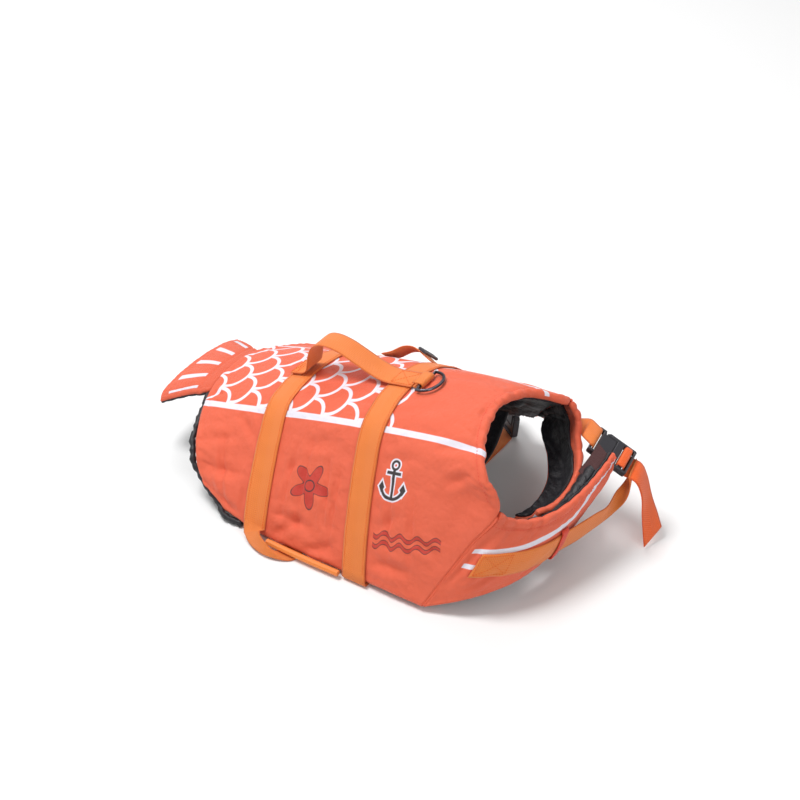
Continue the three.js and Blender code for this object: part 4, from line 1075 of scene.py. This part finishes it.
# the last row of a strap, from half widths along x and y
def endRow(x, y, z, widthX, widthY, normal):
    side = np.linspace(-1, 1, tape["across"] + 1)
    place = np.stack([x + side * widthX, y + side * widthY, np.full_like(side, z)], axis=-1)
    normal = np.array(normal, float) / np.linalg.norm(normal)
    return place[None], np.broadcast_to(normal, place.shape)[None]


frontTail = endRow(4.6, 143.4, 37.4, 10.4, -5, (0, 0.8, 0.6))
frontMiddle, frontNormals = joinRows([under, strapOnBody(frontLines), frontTail])
tapeObject("strap_front", frontMiddle, frontNormals, ["girth_strap_front"])

bowTable = [
    ((-120.5, 109.6, 5.6), (-95.5, 109.6, 5.6)), ((-120, 98, 1.6), (-95, 98, 1.6)),
    ((-118, 82, low), (-93, 82, low)), ((-113, 40, low), (-88, 40, low)),
    ((-100, -20, low), (-75, -20, low)), ((-87, -80, low), (-62, -79, low)),
    ((-83, -114, low), (-60, -118, low)), ((-80, -127, low), (-61.5, -131, low)),
    ((-82, -133.5, 5), (-71, -138, 2)),
    ((-89, -134.5, 11), (-87, -141, 2.4)), ((-97, -131.5, 13.5), (-106, -136, 2.6)),
    ((-100.5, -128, 15), (-118, -129, 6)),
]
rearUpper = strapOnBody(rearLines)
bowMiddle, bowNormals = tapeRows(bowTable, 110)
bowMiddle, bowNormals = bowMiddle[:, ::-1], bowNormals[:, ::-1]
if bowNormals[-1, 5] @ rearUpper[1][0, 5] < 0:
    bowNormals = -bowNormals
rearTail = endRow(-109.5, 140.2, 29.9, 12.5, 0, (0, 0.5, 0.85))
rearMiddle, rearNormals = joinRows([(bowMiddle, bowNormals), rearUpper, rearTail])
tapeObject("strap_rear", rearMiddle, rearNormals, ["girth_strap_rear"])

half = tape["width"] / 2
handlePath = [(-12, 141.9), (-25, 139.2), (-37, 136.8), (-46, 136.8), (-56, 138.6), (-74, 144.2), (-90, 149),
              (-104, 150.3), (-114, 148), (-121, 142), (-124.8, 132), (-126.4, 121), (-128.3, 113.6),
              (-133, 109.6), (-139, 107.6), (-145.5, 105.6)]
handleRows = tapeRows([((x, -half, z), (x, half, z)) for x, z in handlePath], 120)
tapeObject("top_handle", *handleRows, ["handle"])

ring = {"x": -3.5, "z": 144.6, "wire": 1.5}
wrap = ring["wire"] + 0.3 + tape["thickness"] / 2 + 0.1
tabPath = [(-11.4, ring["z"] - wrap - 1.2)]
tabPath += [(ring["x"] - 0.4 + wrap * math.cos(a), ring["z"] + wrap * math.sin(a))
            for a in np.linspace(-quarter, quarter, 9)]
tabPath += [(-11.4, ring["z"] + wrap - 1.2)]
tapeObject("tab_of_ring", *tapeRows([((x, -10, z), (x, 10, z)) for x, z in tabPath], 40), ["ring_tab"])

loopPath = [(-90, 98.6, 1.6), (-80, 101.6, 4.5), (-70, 103.8, 11), (-60, 105.6, 12.5), (-50, 107.5, 9),
            (-43, 108.9, 5.5), (-36, 110.1, 2.4)]
loopTable = []
for x, z, h in loopPath:
    loopTable.append([(x, 65 + 0.69 * h + 9 * side, z + 0.72 * h - 8.6 * side) for side in (-1, 1)])
tapeObject("side_loop", *tapeRows(loopTable, 50), ["adjuster_loop"])


# places and normals between a grid's lines: each corner weighs (1 - di)(1 - dj), di(1 - dj) and so on
def onGrid(grid, normals, i, j, lift):
    i, j = np.broadcast_arrays(np.asarray(i, float), np.asarray(j, float))
    a, b = np.minimum(i.astype(int), grid.shape[0] - 2), np.minimum(j.astype(int), grid.shape[1] - 2)
    di, dj = (i - a)[..., None], (j - b)[..., None]

    # the weighted sum of the four corners
    def blend(g):
        return (g[a, b] * (1 - di) * (1 - dj) + g[a + 1, b] * di * (1 - dj)
                + g[a, b + 1] * (1 - di) * dj + g[a + 1, b + 1] * di * dj)

    normal = blend(normals)
    return blend(grid) + normal * np.asarray(lift, float)[..., None], normal


# places on an arm from shares along and across
def onArm(arm, u, v, lift):
    i = np.interp(u, arm["us"], np.arange(len(arm["us"])))
    j = np.interp(v, arm["vs"], np.arange(len(arm["vs"])))
    return onGrid(arm["face"], arm["normals"], i, j, lift)


onCloth = tape["clear"] + tape["thickness"] / 2
# where the sewn run lies: share along the arm, then the shares across of its lower and upper edges
sewnRun = {
    "along": [0.085, 0.143, 0.214, 0.286, 0.357, 0.43, 0.5, 0.571],
    "low": [0.33, 0.33, 0.32, 0.30, 0.27, 0.228, 0.17, 0.085],
    "high": [0.60, 0.61, 0.625, 0.62, 0.608, 0.594, 0.576, 0.55],
}
runU = np.linspace(sewnRun["along"][0], sewnRun["along"][-1], 60)
runLow = np.interp(runU, sewnRun["along"], sewnRun["low"])
runHigh = np.interp(runU, sewnRun["along"], sewnRun["high"])
side = np.linspace(0, 1, tape["across"] + 1)
runRows = onArm(rightArm, runU[:, None], runLow[:, None] + (runHigh - runLow)[:, None] * side, onCloth)
freeTable = [
    ((153.5, 2, 28), (158, 5, 51)), ((158, 18, 30), (163, 22, 52)), ((163, 32, 33), (166, 38, 50)),
    ((168, 46, 37), (164, 57, 53)), ((174, 57, 46), (164, 75, 54)), ((174.5, 64, 58), (166, 87, 61.5)),
    ((170.6, 66.9, 66.8), (166, 91.6, 69.4)),
]
freeMiddle, freeNormals = tapeRows(freeTable, 60)
if freeNormals[0, 5] @ runRows[1][-1, 5] < 0:
    freeNormals = -freeNormals
chestRows = joinRows([runRows, (freeMiddle, freeNormals)], 6)
tapeObject("chest_webbing_right", *chestRows, ["chest_strap_right"])

# the keeper's rows: share across the arm and lift off the webbing, between two shares along it
keeperBetween = (0.529, 0.571)
keeperShares = [(0.085, 0.1), (0.1, 1.2), (0.12, 2.0), (0.34, 2.1), (0.585, 2.0), (0.615, 1.2), (0.64, 0.1)]
keeper = np.array(keeperShares)
keeperAlong = np.linspace(*keeperBetween, tape["across"] + 1)[None]
keeperRows = onArm(rightArm, keeperAlong, keeper[:, :1], onCloth + keeper[:, 1:])
tapeObject("keeper_loop", *keeperRows, ["strap_keeper"], webbingKeeper)

endTable = [
    ((172.2, 67.4, 67.5), (167.5, 92, 70.1)), ((177.5, 68, 62.5), (171, 92, 66)),
    ((184.5, 68, 50), (177.5, 92, 55.5)),
    ((189, 64, 30), (186, 88, 38)), ((193.5, 60, 14), (194, 85.5, 24)), ((196.5, 58, 2), (201, 83, 11)),
]
# the webbing comes up through one slot of the lock, over its bar and down through the other
lockPlace = {"origin": (148, 76, 79.5), "along": (-0.866, -0.16, 0.47), "width": (-0.16, 0.98, 0.13),
             "half": 12.2}
lockAlong = np.array(lockPlace["along"]) / np.linalg.norm(lockPlace["along"])
lockWidth = np.array(lockPlace["width"], float)
lockWidth -= lockAlong * (lockWidth @ lockAlong)
lockWidth /= np.linalg.norm(lockWidth)
lockOut = np.cross(lockWidth, lockAlong)


# both ends of a webbing row on the lock: its middle + along * its direction + out * its normal
def onBuckle(along, out):
    centre = np.array(lockPlace["origin"]) + lockAlong * along + lockOut * out
    return tuple(centre - lockWidth * lockPlace["half"]), tuple(centre + lockWidth * lockPlace["half"])


threadedPlaces = [(-9.0, -2.6), (-8.9, 1.5), (-9.8, 4.3), (-12.4, 4.7), (-15.0, 4.3), (-16.1, 1.5),
                  (-17.2, -3.5)]
threaded = [onBuckle(a, h) for a, h in threadedPlaces]
tapeObject("free_end", *tapeRows(threaded + endTable[1:], 90), ["chest_strap_end"], webbingInner)

sewnShares = [(0.014, 0.88, 0.6), (1 / 14, 0.88, 0.6), (1.8 / 14, 0.88, 0.6)]
sewnTable = []
for u, a, b in sewnShares:
    sewnTable.append(tuple(onArm(leftArm, u, [a, b], onCloth + 0.5)[0]))
sewnTable += [(np.array(a, float), np.array(b, float)) for a, b in (
    ((119, 70.5, 90.6), (115, 92, 93.5)), ((124.0, 64.5, 93.5), (120.5, 88.6, 96.6)))]
sewnTable += [onBuckle(a, h) for a, h in ((21.0, 4.7), (18.4, 4.0), (17.1, 1.2), (17.0, -2.6))]
tapeObject("chest_webbing_left", *tapeRows(sewnTable, 70), ["chest_strap_left"])

# facing: lining sewn inside the outer arm's upper edge, leaning over the inner arm, with a scalloped edge; it
# is partly the arm's own dark lining and partly a dark sheet over the cleft between the arms, as painted
# shade
facing = {"from": 0.44, "to": 0.82, "share": 0.93, "depth": 8.3, "reach": (-0.86, 0.46, 0.02), "length": 11.0}
facingU = np.linspace(facing["from"], facing["to"], 110)
facingEdge = onArm(rightArm, facingU, facing["share"], -facing["depth"])[0]
facingRun = np.concatenate([[0], np.cumsum(np.linalg.norm(np.diff(facingEdge, axis=0), axis=1))])
facingLength = facing["length"] * np.clip((facingU - facing["from"]) / 0.3, 0.15, 1)
facingLength = facingLength + 0.9 * np.abs(np.sin(math.pi * facingRun / 10.0))
spread = np.linspace(0, 1, 9)
reachWay = np.array(facing["reach"]) / np.linalg.norm(facing["reach"])
facingGrid = facingEdge[:, None] + reachWay * (facingLength[:, None] * spread[None])[..., None]
facingGrid[..., 2] += 1.6 * np.sin(math.pi * spread)[None] - 1.5 * spread[None] ** 2
facingNormals = normalsOf(facingGrid)
cleftShadePiece = slabObject("arm_facing_cleft_shade", facingGrid + facingNormals * 0.5, facingGrid - facingNormals * 0.5,
                         np.stack(np.broadcast_arrays(facingRun[:, None], spread[None] * 15), axis=-1))
finished(cleftShadePiece, None, liningCloth)

# belly panel: follows its section from the near side and is sewn to the lining inside the far edge
belly = {"rear": -124.0, "front": 15.0, "thickness": 1.0, "inward": 3.2,
         "section": [(-112, 1.6), (-60, 1.6), (0, 1.6), (60, 1.6), (78, 4.6), (99, 13.6)]}
bellyX = np.linspace(belly["rear"], belly["front"], 60)
seamLine, seamNormal = bodyInner[:, -11], bodyNormals[:, -11]
order = np.argsort(seamLine[:, 0])
seamInside = (seamLine - seamNormal * belly["inward"])[order]
sewnAt = np.stack([np.interp(bellyX, seamLine[order, 0], seamInside[:, k]) for k in range(3)], -1)
flat = [np.stack([bellyX, np.full_like(bellyX, y), np.full_like(bellyX, z)], -1) for y, z in belly["section"]]
rising = [np.stack([bellyX, sewnAt[:, 1] - out, sewnAt[:, 2] - down], -1) for out, down in ((7, 9), (0, 0))]
sectionPlaces = np.broadcast_to(np.linspace(0, 1, 70)[:, None], (70, len(bellyX)))
bellyGrid = curveAt(np.stack(flat + rising), sectionPlaces).transpose(1, 0, 2)
sag = 0.8 * unevenness(bellyGrid[..., 0], bellyGrid[..., 1], 48.0, 1.1)
sag *= np.clip((bellyGrid[..., 1] + 112) / 30, 0, 1)
bellyGrid[..., 2] += np.maximum(sag, -0.3) + 0.5
bellyPiece = slabObject("belly_panel", bellyGrid + [0, 0, belly["thickness"]], bellyGrid, bellyGrid[..., :2])
finished(bellyPiece, ["belly_band"], liningCloth)
print("belly panel and facing")

# piping in both hinge valleys: the shell turned over a cord between body and chest arm
seamCloth, tree, shader = material("piping_cloth", shellColour, 0.5, 0.08)
surfaceRelief(tree, shader, Crumple_Scale=120.0, Crumple=2.0, Distance=0.0009)
borderLine = (bodyOuter[-1] + bodyInner[-1]) / 2
ahead = borderLine - (bodyOuter[-8] + bodyInner[-8]) / 2
ahead /= np.linalg.norm(ahead, axis=-1, keepdims=True)
for name, kept, lift, on in (
    ("hinge_piping_right", acrossPlaces[:, -1] <= 2.98, 1.55, 0.4),
    ("hinge_piping_left", acrossPlaces[:, -1] >= 8.02, 1.7, 0.5),
):
    path = (borderLine + bodyNormals[-1] * lift + ahead * on)[kept]
    pipedEdge(name, path[4:-2] if name.endswith("right") else path[2:-4], 1.75, seamCloth, 0.06)


# stitches: small raised threads every pitch along a path, each a box of half sizes along, across, up
def stitchCorners(path, normals, pitch=2.6, sizes=(0.85, 0.26, 0.22)):
    run = np.concatenate([[0], np.cumsum(np.linalg.norm(np.diff(path, axis=0), axis=1))])
    at = np.arange(pitch / 2, run[-1], pitch)
    centre = np.stack([np.interp(at, run, path[:, k]) for k in range(3)], -1)
    up = np.stack([np.interp(at, run, normals[:, k]) for k in range(3)], -1)
    up /= np.linalg.norm(up, axis=-1, keepdims=True)
    before = np.stack([np.interp(at - 0.5, run, path[:, k]) for k in range(3)], -1)
    after = np.stack([np.interp(at + 0.5, run, path[:, k]) for k in range(3)], -1)
    along = after - before
    along -= (along * up).sum(axis=-1, keepdims=True) * up
    along /= np.maximum(np.linalg.norm(along, axis=-1, keepdims=True), 1e-9)
    aside = np.cross(up, along)
    signs = np.array([(a, b, c) for a in (-1, 1) for b in (-1, 1) for c in (-1, 1)], float)
    signs[:, 0] *= np.where(signs[:, 2] > 0, 0.7, 1)
    a, b, c = sizes
    return (centre[:, None] + along[:, None] * (signs[None, :, 0:1] * a)
            + aside[:, None] * (signs[None, :, 1:2] * b) + up[:, None] * (signs[None, :, 2:3] * c))


# one mesh of all boxes, each from its eight corners
def stitchPiece(name, groups, paint):
    corners = np.concatenate(groups)
    box = np.array([(0, 1, 3, 2), (4, 6, 7, 5), (0, 4, 5, 1), (2, 3, 7, 6), (0, 2, 6, 4), (1, 5, 7, 3)])
    faces = (np.arange(len(corners))[:, None, None] * 8 + box[None]).reshape(-1, 4)
    mesh = bpy.data.meshes.new(name)
    mesh.from_pydata((corners.reshape(-1, 3) * mm).tolist(), [], faces.tolist())
    made = bpy.data.objects.new(name, mesh)
    bpy.context.scene.collection.objects.link(made)
    return finished(made, None, paint)


# a place on webbing: share along its rows, share across, lifted to its face
def onTape(rows, along, across, side=1, lift=0.75):
    middle, normals = rows
    return onGrid(middle, normals * side, np.asarray(along) * (len(middle) - 1),
                  np.asarray(across) * (middle.shape[1] - 1), lift)


# a sewn box with its cross, between two shares along the webbing
def crossBox(rows, first, last, side=1, low=0.09, high=0.91):
    t = np.linspace(0, 1, 30)
    runs = [(first + (last - first) * t, low + 0 * t), (first + (last - first) * t, high + 0 * t),
            (first + 0 * t, low + (high - low) * t), (last + 0 * t, low + (high - low) * t),
            (first + (last - first) * t, low + (high - low) * t),
            (first + (last - first) * t, high - (high - low) * t)]
    return [stitchCorners(*onTape(rows, a, b, side)) for a, b in runs]


facesOut = {"chest": 1 if chestRows[1][2, 5] @ np.array([0.9, -0.4, 0]) > 0 else -1,
            "handle": 1 if handleRows[1][0, 5, 2] > 0 else -1}
strapStitches = crossBox(chestRows, 0.012, 0.17, facesOut["chest"])
strapStitches += crossBox(handleRows, 0.01, 0.12, facesOut["handle"])
strapStitches += crossBox(handleRows, 0.93, 0.995, facesOut["handle"])
bodyPart = {"front": (len(under[0]), len(frontMiddle) - 1), "rear": (len(bowMiddle), len(rearMiddle) - 1)}
for middle, normals, (a, b) in ((frontMiddle, frontNormals, bodyPart["front"]),
                                (rearMiddle, rearNormals, bodyPart["rear"])):
    for column in (1, -2):
        out = normals[a:b, column]
        strapStitches.append(stitchCorners(middle[a:b, column] + out * 0.68, out))
stitchPiece("webbing_stitches", strapStitches, threadMaterial)

neckColumns = (acrossPlaces[:, -1] > 3.15) & (acrossPlaces[:, -1] < 7.85)
neckSeam = (bodyOuter[-8] * 0.5 + bodyOuter[-9] * 0.5)[neckColumns]
neckOut = bodyNormals[-8][neckColumns]
panelStitches = [stitchCorners(neckSeam + neckOut * 0.1, neckOut, 3.0)]
for arm in (rightArm, leftArm):
    out = arm["normals"][6:-6, -10]
    panelStitches.append(stitchCorners(arm["outer"][6:-6, -10] + out * 0.1, out, 3.0))
stitchPiece("panel_stitches", panelStitches, seamThread)
print("stitches")

# kept solids
for name, paint in (
    ("leash_ring", metal), ("adjuster_slider", plastic), ("chest_buckle_socket", plastic),
    ("chest_buckle_plug", plastic), ("front_belly_buckle_socket", plastic),
    ("front_belly_buckle_plug", plastic), ("rear_belly_buckle_socket", plastic),
    ("rear_belly_buckle_plug", plastic),
    ("fastening_strip", stripCloth), ("edge_roll_right", edgeCloth),
):
    nodes[name].data.materials.clear()
    nodes[name].data.materials.append(paint)

# floor
floorMaterial, tree, shader = material("floor", (0.84, 0.84, 0.84, 1), 0.9)
bpy.ops.mesh.primitive_plane_add(size=12, location=(0, 0, -0.0004))
floor = bpy.context.object
floor.name = "floor"
floor.data.materials.append(floorMaterial)
